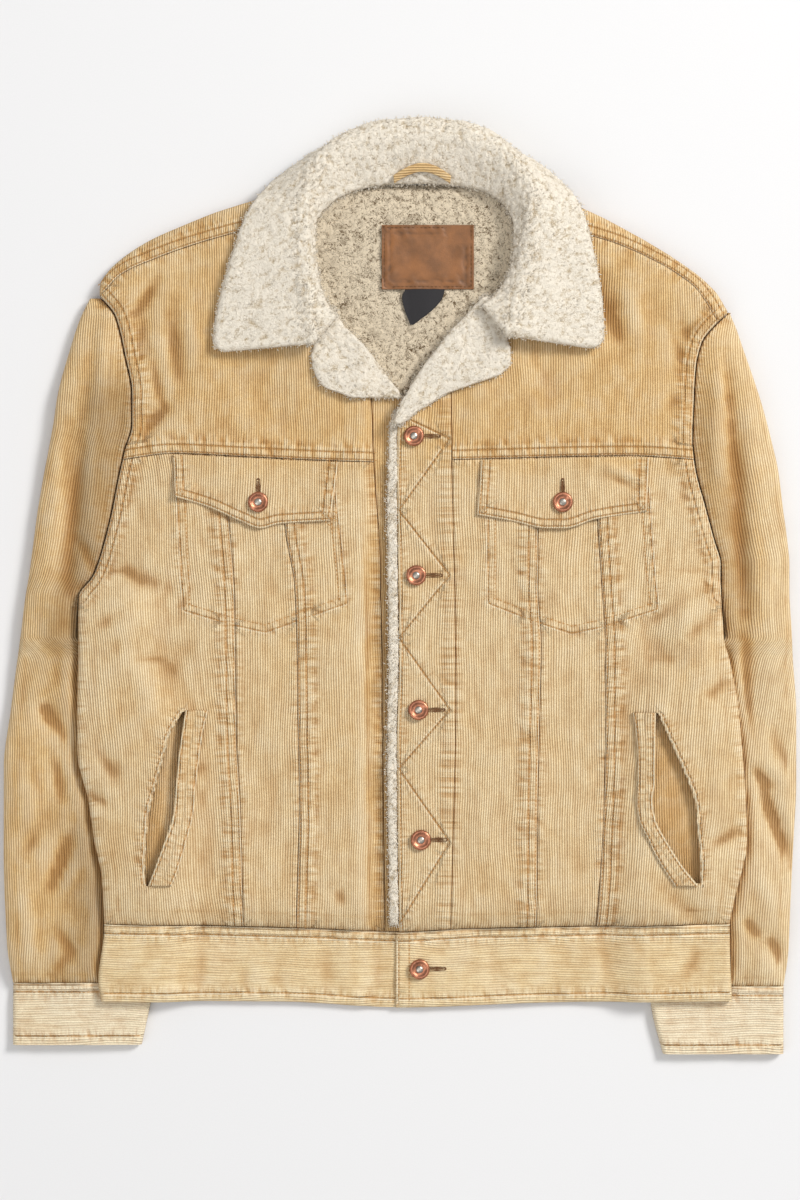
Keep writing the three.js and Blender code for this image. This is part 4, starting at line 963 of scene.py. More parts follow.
def spindles(name, back, front, middle, across, up, smooth_faces=False, **values):
    """One joined mesh of small closed diamonds with eight triangles each."""
    corners = np.stack([front, middle + across, back, middle - across, middle + up, middle - up], 1)
    faces = (np.arange(len(middle))[:, None, None] * 6 + SPINDLE_FACES).reshape(-1, 3)
    return make_mesh(name, corners.reshape(-1, 3), faces, smooth_faces=smooth_faces, **values)


class Workbench:
    """Collects what one group of pieces sews on: its stitches and its sheets."""

    def __init__(self, sizes):
        self.sizes = sizes
        self.stitches = []
        self.sheets = []

    def sew(self, line, height, keep=None, raised=0.25):
        place, heading = stitch_places(line, self.sizes.stitch_spacing / MM)
        if keep is not None:
            kept = keep(place[:, 0], place[:, 1])
            place, heading = place[kept], heading[kept]
        z = height(place[:, 0], place[:, 1])
        ahead = height(place[:, 0] + heading[:, 0], place[:, 1] + heading[:, 1])
        self.stitches.append((
            np.column_stack([place, z + raised]),
            np.column_stack([heading, np.clip(ahead - z, -1.5, 1.5)]),
        ))

    def sew_rows(self, key, height, keep=None):
        seam = SEAM_LINES[key]
        for row in seam.rows:
            self.sew(offset_line(seam.line, row * seam.side), height, keep)

    def stitching(self, name, material):
        """One joined piece of all stitches, each a small diamond of eight triangles."""
        place = np.concatenate([p for p, _ in self.stitches])
        along = unit(np.concatenate([h for _, h in self.stitches]))
        half = self.sizes.stitch_length / MM / 2
        wide = self.sizes.stitch_width / MM / 2
        across = unit(np.cross(along, (0, 0, 1)))
        up = np.cross(across, along)
        piece = spindles(name, place - half * along, place + half * along, place, wide * across,
                         wide * up)
        return finish_piece(piece, material)

    def declare(self, stitching=None):
        for index, (piece, facts) in enumerate(self.sheets):
            extra = facts.pop("with_pieces", []) + ([stitching] if stitching and index == 0 else [])


def hollowed(top, low, rim, wall):
    """Keeps a thick edge but leaves only a wall's thickness under the rest of a surface."""
    inside = smooth((rim - 4) / 9)
    return np.maximum(low, mix(low, top - wall, inside))


def sew_panel(bench, name, nodes, bounds, surface, low, *, slot, material, seams=(), folds=None,
              own=(), seed=1, wales="down", roll=(1.5, 1.5, 1.5, 1.5), cell=3.0, fine=(14, 14, 14, 14),
              hole=None, rests_on=(), wall=2.6, crossing=(), lean=0.0, wash_and_shade=body_wash_and_shade):
    """A cloth panel between four edges, with its seams sewn in.

    bounds, roll and fine go right, left, top, bottom. own are the seams whose stitches it carries,
    and crossing are seams of which it carries the stitches that lie on it.
    """
    right, left, top, bottom, width, height = bounds
    x, y = plan_grid(right, left, top, bottom, steps(width, cell, *fine[:2]),
                     steps(height, cell, *fine[2:]))
    relief = with_seams(surface, [SEAM_LINES[key] for key in seams], folds, seed)
    z, marks = relief(x, y)
    off = (x - right(y), left(y) - x, top(x) - y, y - bottom(x))
    drop = np.zeros(x.shape)
    for distance, radius in zip(off, roll):
        drop = np.maximum(drop, rolled(np.maximum(distance - GAP / 2, 0), radius))
    under = low(x, y)
    z = np.maximum(z - drop, under + 0.8)
    under = hollowed(z, under, np.minimum.reduce(off), wall)
    mark_look(marks, z, folded(x, y, BODY_FOLDS, *([] if folds is None else [folds])), wash_and_shade(x, y))
    piece = shell(name, x, y, z, under, marks, wales, hole=hole, lean=lean)
    finish_piece(piece, material, nodes)
    SURFACES[name] = lambda a, b: relief(a, b)[0]

    def on_panel(a, b):
        return np.minimum.reduce([a - right(b), left(b) - a, top(a) - b, b - bottom(a)]) > 0

    for key in own:
        bench.sew_rows(key, SURFACES[name])
    for key in crossing:
        bench.sew_rows(key, SURFACES[name], on_panel)
    bench.sheets.append((piece, cloth_facts(x, y, rests_on)))


def cloth_facts(x, y, rests_on, layers=1, slack=1.02):
    """The flat size of a cut from its plan, with a little for the folds."""
    width = float(x.max() - x.min()) * MM * slack * layers
    length = float(y.max() - y.min()) * MM * slack
    area = min(max(plan_area(x, y) * slack**2 * layers, 0.301 * width * length), width * length)
    return {"flat": (width, length), "area": area, "rests_on": list(rests_on)}


def sew_tube(bench, name, nodes, bounds, surface, low, *, material, seams=(), own=(), seed=1,
             wales="down", cell=3.0, wall=2.8, rests_on=(), lean=None, sewn_edge=None,
             folds=(), wash_and_shade=fully_faded):
    """A tube of cloth laid flat: one wall on another, closed along both sides and open at its ends.

    lean is the x that its ribs follow at each y, and sewn_edge is 1 where an edge is kept sharp.
    """
    right, left, top, bottom, width, height = bounds
    x, y = plan_grid(right, left, top, bottom, steps(width, cell, 10, 10), steps(height, cell, 8, 8))
    relief = with_seams(surface, [SEAM_LINES[key] for key in seams], None, seed)
    z, marks = relief(x, y)
    under = low(x, y)
    z = np.maximum(z, under + 2 * wall + 0.4)
    half = (z - under) / 2
    to_right, to_left = x - x[:, :1], x[:, -1:] - x
    sharp = sewn_edge or (lambda px, py: np.zeros_like(px))
    radius = np.where(to_right < to_left, half[:, :1], half[:, -1:])
    reach = mix(np.clip(radius, 1, 8), 1.8, sharp(x, y))
    drop = radius * (1 - quarter_round(np.minimum(to_right, to_left) / reach))
    z, under = z - drop, under + drop
    middle = (z + under) / 2
    z = np.maximum(z, middle)
    under = np.minimum(under, middle)
    centre = (x[:, :1] + x[:, -1:]) / 2
    narrow = 1 - 2 * wall / (x[:, -1:] - x[:, :1])
    inner_x = centre + (x - centre) * narrow
    upper_in = np.maximum(z - wall, middle + 0.05)
    lower_in = np.minimum(under + wall, middle - 0.05)
    mark_look(marks, z, folded(x, y, *folds), wash_and_shade(x, y))

    def ring(px, top_z, low_z):
        upper = np.stack([px, y, top_z], -1)
        lower = np.stack([px, y, low_z], -1)[:, -2:0:-1]
        return np.concatenate([upper, lower], 1)

    outer, inner = ring(x, z, under), ring(inner_x, upper_in, lower_in)
    rows, around = outer.shape[:2]
    i, j = np.meshgrid(np.arange(rows - 1), np.arange(around), indexing="ij")
    k = (j + 1) % around
    wall_quads = np.stack([i * around + j, (i + 1) * around + j, (i + 1) * around + k,
                           i * around + k], -1).reshape(-1, 4)
    count = rows * around
    loop = np.arange(around)
    after = (loop + 1) % around
    last = (rows - 1) * around
    quads = np.concatenate([
        wall_quads,
        wall_quads[:, ::-1] + count,
        np.stack([loop, after, after + count, loop + count], 1),
        np.stack([last + after, last + loop, last + loop + count, last + after + count], 1),
    ])
    points = np.concatenate([outer.reshape(-1, 3), inner.reshape(-1, 3)])
    leaned = points[:, 0] - (0 if lean is None else lean(points[:, 1]))
    uv = np.stack([leaned, points[:, 1]] if wales == "down" else [points[:, 1], leaned], 1)
    marked = {}
    for key, values in marks.items():
        whole = np.zeros((2, rows, around))
        whole[:, :, :x.shape[1]] = values
        whole[:, :, x.shape[1]:] = values[:, -2:0:-1]
        marked[key] = whole.ravel()
    piece = make_mesh(name, points, quads, uv, **marked)
    finish_piece(piece, material, nodes)
    for key in own:
        bench.sew_rows(key, lambda a, b: relief(a, b)[0])
    bench.sheets.append((piece, cloth_facts(x, y, rests_on, layers=2)))


def curls(points, sizes, seed):
    """The curled loops of the pile, from 0 in the gaps to 1 on the curls."""
    coarse = curl_distance(points, sizes.curl_size / MM, seed)
    fine = curl_distance(points, sizes.curl_size / MM * 0.5, seed + 1)
    return clamp01(1.05 - coarse) * 0.72 + clamp01(1.0 - fine) * 0.28


def fuzz(name, grid, normal, share, seed, material):
    """Loose curls that stand out of the pile, on a share of its points and along its borders."""
    rng = np.random.default_rng(seed)
    picked = rng.random(grid.shape[:2]) < share
    roots, lean = [grid[picked]], [normal[picked] * TUFT["lean"]]
    for axis, edge, within in ((0, 0, 3), (0, -1, -4), (1, 0, 3), (1, -1, -4)):
        rim = np.repeat(np.take(grid, edge, axis), BORDER_TUFTS, 0)
        away = rim - np.repeat(np.take(grid, within, axis), BORDER_TUFTS, 0)
        roots.append(rim - 0.15 * away + rng.normal(0, 0.9, rim.shape))
        lean.append(away / np.maximum(np.linalg.norm(away, axis=1), 0.1)[:, None])
    roots, lean = np.concatenate(roots), np.concatenate(lean)
    roots[:, 2] = np.maximum(roots[:, 2], TUFT["lowest_root"])
    along = unit(lean + rng.normal(0, TUFT["scatter"], roots.shape))
    across = unit(np.cross(along, rng.normal(0, 1, roots.shape)))
    up = np.cross(across, along)
    reach = TUFT["length"] * rng.uniform(0.5, 1.2, (len(roots), 1))
    middle = roots + reach * (0.5 * along + 0.22 * across)
    tip = roots + reach * along
    tip[:, 2] = np.maximum(tip[:, 2], TUFT["lowest_tip"])
    piece = spindles(name, roots, tip, middle, TUFT["width"] * across, TUFT["width"] * up,
                     smooth_faces=True, curl=np.full(6 * len(roots), TUFT["curl"]))
    return finish_piece(piece, material)


def pile_sheet(bench, name, nodes, bounds, surface, low, *, material, seed, roll=3.2, cell=1.6,
               curl=1.0, rests_on=(), uneven=1.2, layers=1, tufts=0.06, clear=None):
    """A closed piece of pile between four edges, curled on its upper side."""
    right, left, top, bottom, width, height = bounds
    x, y = plan_grid(right, left, top, bottom, steps(width, cell, 3, 3), steps(height, cell, 3, 3))
    under = low(x, y)
    z = surface(x, y) + uneven * lattice_noise(x / 16, y / 16, seed)
    rim = rim_distance(x, y)
    z = z - rolled(rim, np.minimum(roll, np.maximum(z - under, 1) * 0.6))
    curled = curls(np.stack([x, y, z], -1).reshape(-1, 3), bench.sizes, seed).reshape(x.shape)
    reach = bench.sizes.curl_height / MM * curl
    z = np.maximum(z + reach * (curled - 0.55), under + 0.6)
    spread = smooth(1 - rim / 3)
    push = reach * (curled - 0.35) * spread * 0.8
    out_x, out_y = np.zeros_like(x), np.zeros_like(y)
    out_x[:, :3], out_x[:, -3:] = -1, 1
    out_y[:3, :], out_y[-3:, :] = 1, -1
    face = np.stack([x + push * out_x, y + push * out_y, z], -1)
    piece = slab(name, face, np.stack([x, y, under], -1), np.stack([x, y], -1),
                 # The underside gets no curl, so it takes the painted shade of the pile's gaps
                 curl=np.concatenate([curled.ravel(), np.zeros(x.size)]))
    finish_piece(piece, material, nodes)
    share = tufts if clear is None else np.where(clear(x, y), 0, tufts)
    loose = fuzz(f"{name}_tufts", face, np.zeros_like(face) + (0, 0, 1), share, seed + 40, material)
    bench.sheets.append((piece, {**cloth_facts(x, y, rests_on, layers), "with_pieces": [loose]}))


# The collar
COLLAR_COLUMNS = {
    key: curve({"index": np.arange(len(COLLAR["neckX"]), dtype=float), "value": values}, "index", "value")
    for key, values in COLLAR.items()
}
COLLAR_END = len(COLLAR["neckX"]) - 1


def collar_points(station, share):
    """Points of the collar's middle surface for arrays of stations and shares."""
    at = {key: column(station) for key, column in COLLAR_COLUMNS.items()}
    neck = np.stack([at["neckX"], at["neckY"], at["neckZ"]], -1)
    roll = np.stack([at["rollX"], at["rollY"], at["rollZ"]], -1)
    edge = np.stack([at["edgeX"], at["edgeY"], at["edgeZ"]], -1)

    def level(v):
        return unit(v * (1, 1, 0)) * ROLL_REACH

    zero = np.zeros_like(at["tuck"])
    before = roll - level(roll - neck) - np.stack([zero, zero, zero + 1.5], -1)
    after = roll + level(edge - roll) - np.stack([zero, zero, 1.5 + at["tuck"]], -1)
    roll = roll - np.stack([zero, zero, at["tuck"] / 2], -1)
    knots = [neck, before, roll, after, edge]
    ends = [2 * knots[0] - knots[1], *knots, 2 * knots[-1] - knots[-2]]
    place = np.clip(share * 4, 0, 4 - 1e-9)
    segment = np.floor(place).astype(int)
    t = (place - segment)[..., None]
    p = [np.choose(segment[..., None], [ends[s + k] for s in range(4)]) for k in range(4)]

    def root(a, b):
        return np.maximum(np.linalg.norm(b - a, axis=-1, keepdims=True), 1e-4) ** 0.5

    d0, d1, d2 = root(p[0], p[1]), root(p[1], p[2]), root(p[2], p[3])
    t1 = ((p[1] - p[0]) / d0 - (p[2] - p[0]) / (d0 + d1) + (p[2] - p[1]) / d1) * d1
    t2 = ((p[2] - p[1]) / d1 - (p[3] - p[1]) / (d1 + d2) + (p[3] - p[2]) / d2) * d1
    c2 = -3 * p[1] + 3 * p[2] - 2 * t1 - t2
    c3 = 2 * p[1] - 2 * p[2] + t1 + t2
    return p[1] + t1 * t + c2 * t**2 + c3 * t**3


def collar_face(station, share, off):
    """Points at a distance from the collar's middle surface, and its normals."""
    step = COLLAR_STEP
    inside = np.clip(station, step, COLLAR_END - step)
    around = collar_points(inside + step, share) - collar_points(inside - step, share)
    out = (collar_points(inside, np.minimum(share + step, 1))
           - collar_points(inside, np.maximum(share - step, 0)))
    normal = unit(np.cross(around, out))
    return collar_points(station, share) + normal * np.asarray(off)[..., None], normal


def border_distances(middle):
    """Each point's distance from the first border along both ways of a grid."""
    step = [np.linalg.norm(np.diff(middle, axis=axis), axis=-1) for axis in (0, 1)]
    return [np.concatenate([np.zeros_like(np.take(s, [0], a)), np.cumsum(s, a)], a)
            for a, s in enumerate(step)]


def round_corners(middle, radius=15):
    """Draws the collar's two outer corners in to a round."""
    far = border_distances(middle)
    around, out = (unit(np.gradient(middle, axis=axis)) for axis in (0, 1))
    from_edge = clamp01(1 - (far[1][:, -1:] - far[1]) / radius)
    for sign, from_end in ((1, far[0]), (-1, far[0][-1:] - far[0])):
        end = clamp01(1 - from_end / radius)
        along = end * (1 - np.sqrt(1 - from_edge**2 / 2)) * radius
        inward = from_edge * (1 - np.sqrt(1 - end**2 / 2)) * radius
        middle = middle + sign * along[..., None] * around - inward[..., None] * out
    return middle


def build_collar(bench, material):
    """The collar: a sheet with curled pile on both faces that rolls over at the neck."""
    station, share = np.meshgrid(np.linspace(0, COLLAR_END, COLLAR_GRID[0]),
                                 np.linspace(0, 1, COLLAR_GRID[1]), indexing="ij")
    middle, normal = collar_face(station, share, np.zeros(station.shape))
    middle = round_corners(middle)
    far = border_distances(middle)
    rim = np.minimum.reduce([far[0], far[0][-1:] - far[0], far[1], far[1][:, -1:] - far[1]])
    half = COLLAR_THICKNESS / 2
    thick = half * quarter_round((rim + 0.4) / (half + 1.2))
    reach = bench.sizes.curl_height / MM
    values, faces = [], []
    for sign, seed in ((1, 41), (-1, 43)):
        face = middle + normal * (sign * thick)[..., None]
        uneven = lattice_noise(face[..., 0] / 21, face[..., 1] / 21, seed) * 1.1
        curl = curls(face.reshape(-1, 3), bench.sizes, seed).reshape(rim.shape)
        face = face + normal * (sign * (reach * (curl - 0.5) + uneven * smooth(rim / 8)))[..., None]
        face[..., 2] = np.maximum(face[..., 2], 0.6)
        values.append(curl.ravel())
        faces.append(face)
    piece = slab("collar_pile", *faces, np.stack([station * 40, share * 120], -1), turned=True,
                 curl=np.concatenate(values))
    finish_piece(piece, material, ["collar"])
    loose = fuzz("collar_pile_tufts", faces[0], normal, 0.07, 81, material)
    flat = (float(far[0][-1].max()) * MM, float(far[1][len(far[1]) // 2, -1]) * 1.12 * MM)
    area = float(np.mean(far[0][-1]) * np.mean(far[1][:, -1])) * MM * MM
    bench.sheets.append((piece, {
        "flat": flat, "area": min(max(area, 0.31 * flat[0] * flat[1]), flat[0] * flat[1]),
        "rests_on": ["back_yoke", "front_yoke_right", "front_yoke_left"], "with_pieces": [loose],
    }))


# Materials
def linear(colour, light=1.0):
    """An sRGB colour from 0 to 255, dimmed to a share of it, as linear values with alpha."""
    shares = [c * light / 255 for c in colour]
    return tuple(c / 12.92 if c <= 0.04045 else ((c + 0.055) / 1.055) ** 2.4 for c in shares) + (1.0,)


class Nodes:
    """Short calls for building one material's node tree."""

    def __init__(self, name):
        self.material = bpy.data.materials.new(name)
        self.material.use_nodes = True
        self.tree = self.material.node_tree
        self.tree.nodes.clear()
        self.output = self.tree.nodes.new("ShaderNodeOutputMaterial")
        self.shader = self.tree.nodes.new("ShaderNodeBsdfPrincipled")
        self.tree.links.new(self.shader.outputs[0], self.output.inputs[0])

    def put(self, node, inputs):
        """Sets inputs of a node, or links another node's output to them."""
        for key, value in inputs.items():
            if isinstance(value, bpy.types.NodeSocket):
                self.tree.links.new(value, node.inputs[key])
            else:
                node.inputs[key].default_value = value

    def add(self, kind, inputs, **settings):
        node = self.tree.nodes.new(f"ShaderNode{kind}")
        for key, value in settings.items():
            setattr(node, key, value)
        self.put(node, inputs)
        return node

    def shade(self, **inputs):
        self.put(self.shader, {key.replace("_", " "): value for key, value in inputs.items()})
        return self.material

    def math(self, operation, a, b=0.0, clamp=False):
        return self.add("Math", {0: a, 1: b}, operation=operation, use_clamp=clamp).outputs[0]

    def times(self, a, b, clamp=False):
        return self.math("MULTIPLY", a, b, clamp)

    def plus(self, a, b):
        return self.math("ADD", a, b)

    def less(self, a, b):
        return self.math("SUBTRACT", a, b)

    def mix(self, factor, a, b, blend="MIX"):
        node = self.add("Mix", {}, data_type="RGBA", blend_type=blend)
        self.put(node, {"Factor": factor, 6: a, 7: b})
        return node.outputs[2]

    def value(self, name):
        return self.add("Attribute", {}, attribute_name=name).outputs["Fac"]

    def object_point(self):
        return self.add("TexCoord", {}).outputs["Object"]

    def cloth_uv(self):
        return self.add("UVMap", {}, uv_map="Cloth").outputs[0]

    def split(self, vector):
        return self.add("SeparateXYZ", {0: vector}).outputs

    def scaled(self, vector, scale):
        return self.add("VectorMath", {0: vector, 1: scale}, operation="MULTIPLY").outputs[0]

    def joined(self, x, y):
        return self.add("CombineXYZ", {0: x, 1: y}).outputs[0]

    def noise(self, vector, scale, detail=2.0, roughness=0.5, distortion=0.0):
        inputs = {"Vector": vector, "Scale": scale, "Detail": detail, "Roughness": roughness,
                  "Distortion": distortion}
        return self.add("TexNoise", inputs).outputs["Fac"]

    def span(self, value, low, high, start=0.0, end=1.0):
        inputs = {"Value": value, "From Min": low, "From Max": high, "To Min": start, "To Max": end}
        return self.add("MapRange", inputs).outputs[0]

    def bump(self, height, distance, strength=1.0, normal=None):
        inputs = {"Height": height, "Distance": distance, "Strength": strength}
        if normal is not None:
            inputs["Normal"] = normal
        return self.add("Bump", inputs).outputs[0]


def corduroy(name, sizes, shades, ribbed=0.72):
    """Ribbed pile cloth: worn on its ribs, darker between ribs and at seams, with painted highlight on
    rises and folds and painted shade in hollows and troughs.
    """
    n = Nodes(name)
    uv, point = n.cloth_uv(), n.object_point()
    valley, worn, seam = (linear(shades[key]) for key in ("valley", "worn", "seam"))
    sway = n.less(n.noise(point, 12, 1), 0.5)
    sway = n.times(sway, 2 * math.pi * RIB_SWAY / sizes.wale_pitch)
    drift = n.times(n.less(n.noise(point, 60, 1), 0.5), 2.2)
    turns = n.times(n.split(uv)[0], 2 * math.pi / sizes.wale_pitch)
    turns = n.plus(turns, n.plus(sway, drift))
    wale = n.math("POWER", n.span(n.math("SINE", turns), -1, 1), 0.8)
    fibres = n.noise(n.scaled(uv, (1.0, 0.28, 1.0)), 2600, 2, 0.7)
    streaks = n.noise(n.scaled(uv, (1.0, 0.07, 1.0)), 330, 3, 0.7)
    pile = n.noise(point, 700, 3, 0.6)
    blotch = n.noise(point, 42, 4, 0.65)
    tone, near, wash_and_shade = n.value("tone"), n.value("seam"), n.value("wash_and_shade")
    # The wash and shade value above 0 washes the cloth out, and below 0 it is painted shade
    washed = n.span(n.plus(wash_and_shade, n.span(n.noise(point, 14, 2), 0.3, 0.7, -0.35, 0.35)), 0.0, 1.0)
    colour = n.mix(washed, linear(shades["cloth"]), linear(shades["washed"]))
    colour = n.mix(n.span(blotch, 0.48, 0.72, 0, 0.45), colour, worn)
    colour = n.mix(n.span(blotch, 0.5, 0.3, 0, 0.3), colour, seam)
    colour = n.mix(n.span(streaks, 0.42, 0.68, 0, 0.35), colour, valley)
    colour = n.mix(n.times(n.span(pile, 0.42, 0.62), 0.2), colour, valley)
    colour = n.mix(n.times(washed, 0.06), colour, worn)
    row_a = n.value("row_a")
    across = n.times(row_a, 0.05)
    strokes = n.noise(n.joined(n.times(n.value("along"), 0.3), across), 1.0, 2.0, 0.6)
    colour = n.mix(n.times(near, n.span(strokes, 0.5, 0.36, 0, 0.5)), colour, seam)
    colour = n.mix(n.times(near, n.span(strokes, 0.5, 0.64, 0, 0.5)), colour, worn)
    sewn = n.times(near, near)
    off_row = n.math("MINIMUM", n.math("ABSOLUTE", row_a), n.math("ABSOLUTE", n.value("row_b")))
    groove = n.times(sewn, n.span(off_row, 1.0, 0.25))
    rim = n.span(n.math("ABSOLUTE", n.plus(row_a, 1.3)), 1.0, 0.35)
    colour = n.mix(n.times(groove, 0.42), colour, seam)
    colour = n.mix(n.times(n.times(sewn, rim), 0.85), colour, worn)
    # Painted highlight on rises and folds in the worn colour, and painted shade in hollows and troughs in
    # the seam colour
    relief = n.plus(tone, n.times(n.value("shade"), 0.16))
    light = n.math("MAXIMUM", relief, 0.0)
    dark = n.math("MAXIMUM", n.times(relief, -1.0), 0.0)
    colour = n.mix(n.times(light, 0.36), colour, worn)
    colour = n.mix(n.times(dark, 0.6, clamp=True), colour, seam)
    # Painted shadow in deep troughs and where the wash and shade value is below 0, by the lap and beside
    # the body
    shadowed = n.math("MAXIMUM", n.span(dark, 0.6, 1.5, 0, 0.4), n.span(wash_and_shade, 0.0, -1.0, 0, 0.42))
    colour = n.mix(shadowed, colour, linear(shades["shadow"]))
    between_ribs = [v / c for v, c in zip(valley, linear(shades["cloth"]))]
    colour = n.mix(n.times(n.less(1.0, wale), ribbed), colour, between_ribs, "MULTIPLY")
    height = n.plus(wale, n.times(fibres, 0.35))
    ribs = n.bump(height, sizes.wale_depth, 1.0)
    rough = n.bump(n.plus(blotch, n.times(pile, 0.25)), 0.0012, 0.5, ribs)
    sewing = n.less(n.times(near, strokes), n.times(groove, 0.4))
    return n.shade(Base_Color=colour, Roughness=0.93, Normal=n.bump(sewing, 0.0022, 0.7, rough),
                   Sheen_Weight=0.12, Sheen_Roughness=0.5, Specular_IOR_Level=0.12, Sheen_Tint=worn)


def sherpa(name, light, deep, gaps=0.25):
    """Curled pile: lighter on the curls, with painted shade in the deep colour between them and in thin
    gaps that wind between the strands.
    """
    n = Nodes(name)
    point = n.object_point()
    curl = n.value("curl")
    fuzz = n.noise(point, 1500, 3, 0.7)
    wool = n.noise(point, 420, 3, 0.65)
    lock = n.noise(point, 45, 2)
    winding = n.noise(point, 260, 1.0, 0.5, 1.4)
    # Thin winding gaps, darkened as painted shade and sunk by the bump
    gap = n.span(n.math("ABSOLUTE", n.less(winding, 0.5)), 0.05, 0.0)
    shown = n.plus(curl, n.times(n.less(wool, 0.5), 0.7))
    shown = n.span(n.less(shown, n.times(gap, gaps)), 0.05, 0.5)
    # The deep colour between the curls is painted shade
    colour = n.mix(shown, linear(deep), linear(light))
    colour = n.mix(n.span(lock, 0.4, 0.7, 0, 0.22), colour, linear(light, 0.93))
    height = n.less(n.plus(wool, n.times(fuzz, 0.5)), n.times(gap, 0.5))
    return n.shade(Base_Color=colour, Roughness=0.97, Normal=n.bump(height, 0.0022, 0.6),
                   Sheen_Weight=0.3, Sheen_Roughness=0.6, Sheen_Tint=linear(light),
                   Specular_IOR_Level=0.1)


def leather(name, colour):
    """Grained leather, with painted shade in the dents where it is sewn in."""
    n = Nodes(name)
    point = n.object_point()
    grain = n.noise(point, 900, 3, 0.6)
    cloud = n.noise(point, 60, 3, 0.6)
    tone = n.value("tone")
    base = n.mix(n.span(cloud, 0.35, 0.7), linear(colour, 0.8), linear(colour))
    # Painted shade where the relief sinks
    sunk = n.math("MAXIMUM", n.times(tone, -1.0), 0.0)
    base = n.mix(n.times(sunk, 0.8), base, linear(colour, 0.45))
    return n.shade(Base_Color=base, Roughness=n.span(grain, 0.3, 0.7, 0.42, 0.62),
                   Normal=n.bump(grain, 0.0004, 0.5))


def metal(name, colour, roughness, tarnish=0.7):
    """Metal with dull patches."""
    n = Nodes(name)
    point = n.object_point()
    worn = n.noise(point, 260, 3, 0.6)
    base = n.mix(n.span(worn, 0.4, 0.7), linear(colour), linear(colour, tarnish))
    return n.shade(Base_Color=base, Metallic=1.0,
                   Roughness=n.span(worn, 0.3, 0.7, roughness, roughness + 0.15),
                   Normal=n.bump(n.noise(point, 1400, 2), 0.0001, 0.4))


def plain(name, colour, roughness=0.9, grain=0.0003, scale=1800, deep=0.86):
    """A matt surface with a fine grain."""
    n = Nodes(name)
    fibre = n.noise(n.object_point(), scale, 3, 0.65)
    base = n.mix(n.span(fibre, 0.35, 0.65), linear(colour, deep), linear(colour))
    return n.shade(Base_Color=base, Roughness=roughness, Normal=n.bump(fibre, grain, 0.6))


def material(key, context):
    """The material of a key, made on first use from the panel's sizes and colours."""
    name = f"{key}_look"
    if name in bpy.data.materials:
        return bpy.data.materials[name]
    sizes, colours = context.scene.jacket_sizes, context.scene.jacket_colours
    shade = {each: list(getattr(colours, each)) for each in JacketColours.__annotations__}
    make = {
        "corduroy": lambda: corduroy(name, sizes, shade),
        "corduroy_band": lambda: corduroy(name, sizes, {**shade, "cloth": shade["band"],
                                                        "washed": shade["washed_band"]}, 0.22),
        "corduroy_dim": lambda: corduroy(name, sizes, {**shade, "cloth": shade["shaded"],
                                                       "washed": shade["shaded"]}),
        "sherpa": lambda: sherpa(name, shade["pile"], shade["pile_deep"]),
        # A darker copy of the sherpa, with painted shade for the inside of the neck
        "sherpa_lining_shaded": lambda: sherpa(name, shade["lining"], shade["lining_deep"], 0.5),
        "leather": lambda: leather(name, shade["leather"]),
        "label": lambda: plain(name, shade["label"], 0.8),
        "copper": lambda: metal(name, shade["copper"], 0.3),
        "nickel": lambda: metal(name, shade["nickel"], 0.26),
        "thread": lambda: plain(name, shade["thread"], 0.85),
        "thread_dark": lambda: plain(name, shade["thread_dark"], 0.85),
        "floor": lambda: plain(name, shade["floor"], 1.0, 0.00005, 900, 0.99),
    }
    return make[key]()


def size(name, value, description, low=0.0001, high=0.1):
    return bpy.props.FloatProperty(name=name, description=description, default=value, min=low,
                                   max=high, precision=5, unit="LENGTH")


def shade(red, green, blue, description):
    return bpy.props.FloatVectorProperty(name=description, description=f"{description}, sRGB 0 to 255",
                                         default=(red, green, blue), size=3, min=0, max=255)


class JacketSizes(bpy.types.PropertyGroup):
    wale_pitch: size("Rib pitch", 0.0021, "From one rib of the corduroy to the next")
    wale_depth: size("Rib depth", 0.0006, "How deep the valleys between the ribs are")
    stitch_spacing: size("Stitch spacing", 0.0036, "From one stitch to the next along a row")
    stitch_length: size("Stitch length", 0.0028, "Length of one stitch")
    stitch_width: size("Stitch width", 0.0009, "Width of one stitch")
    curl_size: size("Curl size", 0.0052, "Size of one curl of the pile")
    curl_height: size("Curl height", 0.0024, "How far the curls stand out of the pile")


class JacketColours(bpy.types.PropertyGroup):
    cloth: shade(242, 210, 154, "Corduroy of the body and sleeves")
    shaded: shade(226, 188, 130, "Corduroy inside the pockets")
    band: shade(246, 224, 178, "Corduroy of the waistband and cuffs")
    washed: shade(248, 226, 182, "Corduroy where it is washed out")
    washed_band: shade(255, 243, 214, "Waistband and cuffs where they are washed out")
    shadow: shade(112, 78, 40, "Corduroy in deep troughs")
    valley: shade(174, 128, 72, "Corduroy between its ribs")
    # Also the painted highlight on rises and folds
    worn: shade(252, 238, 206, "Corduroy where it is worn")
    # Also the painted shade in hollows and troughs
    seam: shade(190, 140, 80, "Corduroy in gathers and along seams")
    pile: shade(240, 231, 215, "Sherpa on the tips of its curls")
    # Painted shade between the curls
    pile_deep: shade(182, 160, 124, "Sherpa between its curls")
    lining: shade(222, 207, 182, "Lining in the neck, on the tips of its curls")
    # The lining is the collar's sherpa, darker here as painted shade inside the neck
    lining_deep: shade(98, 78, 52, "Lining in the neck, between its curls")
    # Painted shade between the curls, deep in the neck's hollows
    leather: shade(150, 98, 54, "Leather of the patch in the neck")
    label: shade(40, 38, 41, "Woven care label")
    copper: shade(204, 138, 108, "Rings of the buttons")
    nickel: shade(205, 198, 186, "Studs in the buttons")
    thread: shade(206, 154, 88, "Stitching of the seams")
    thread_dark: shade(118, 78, 42, "Stitching of the buttonholes")
    floor: shade(230, 230, 231, "Surface that the jacket lies on")


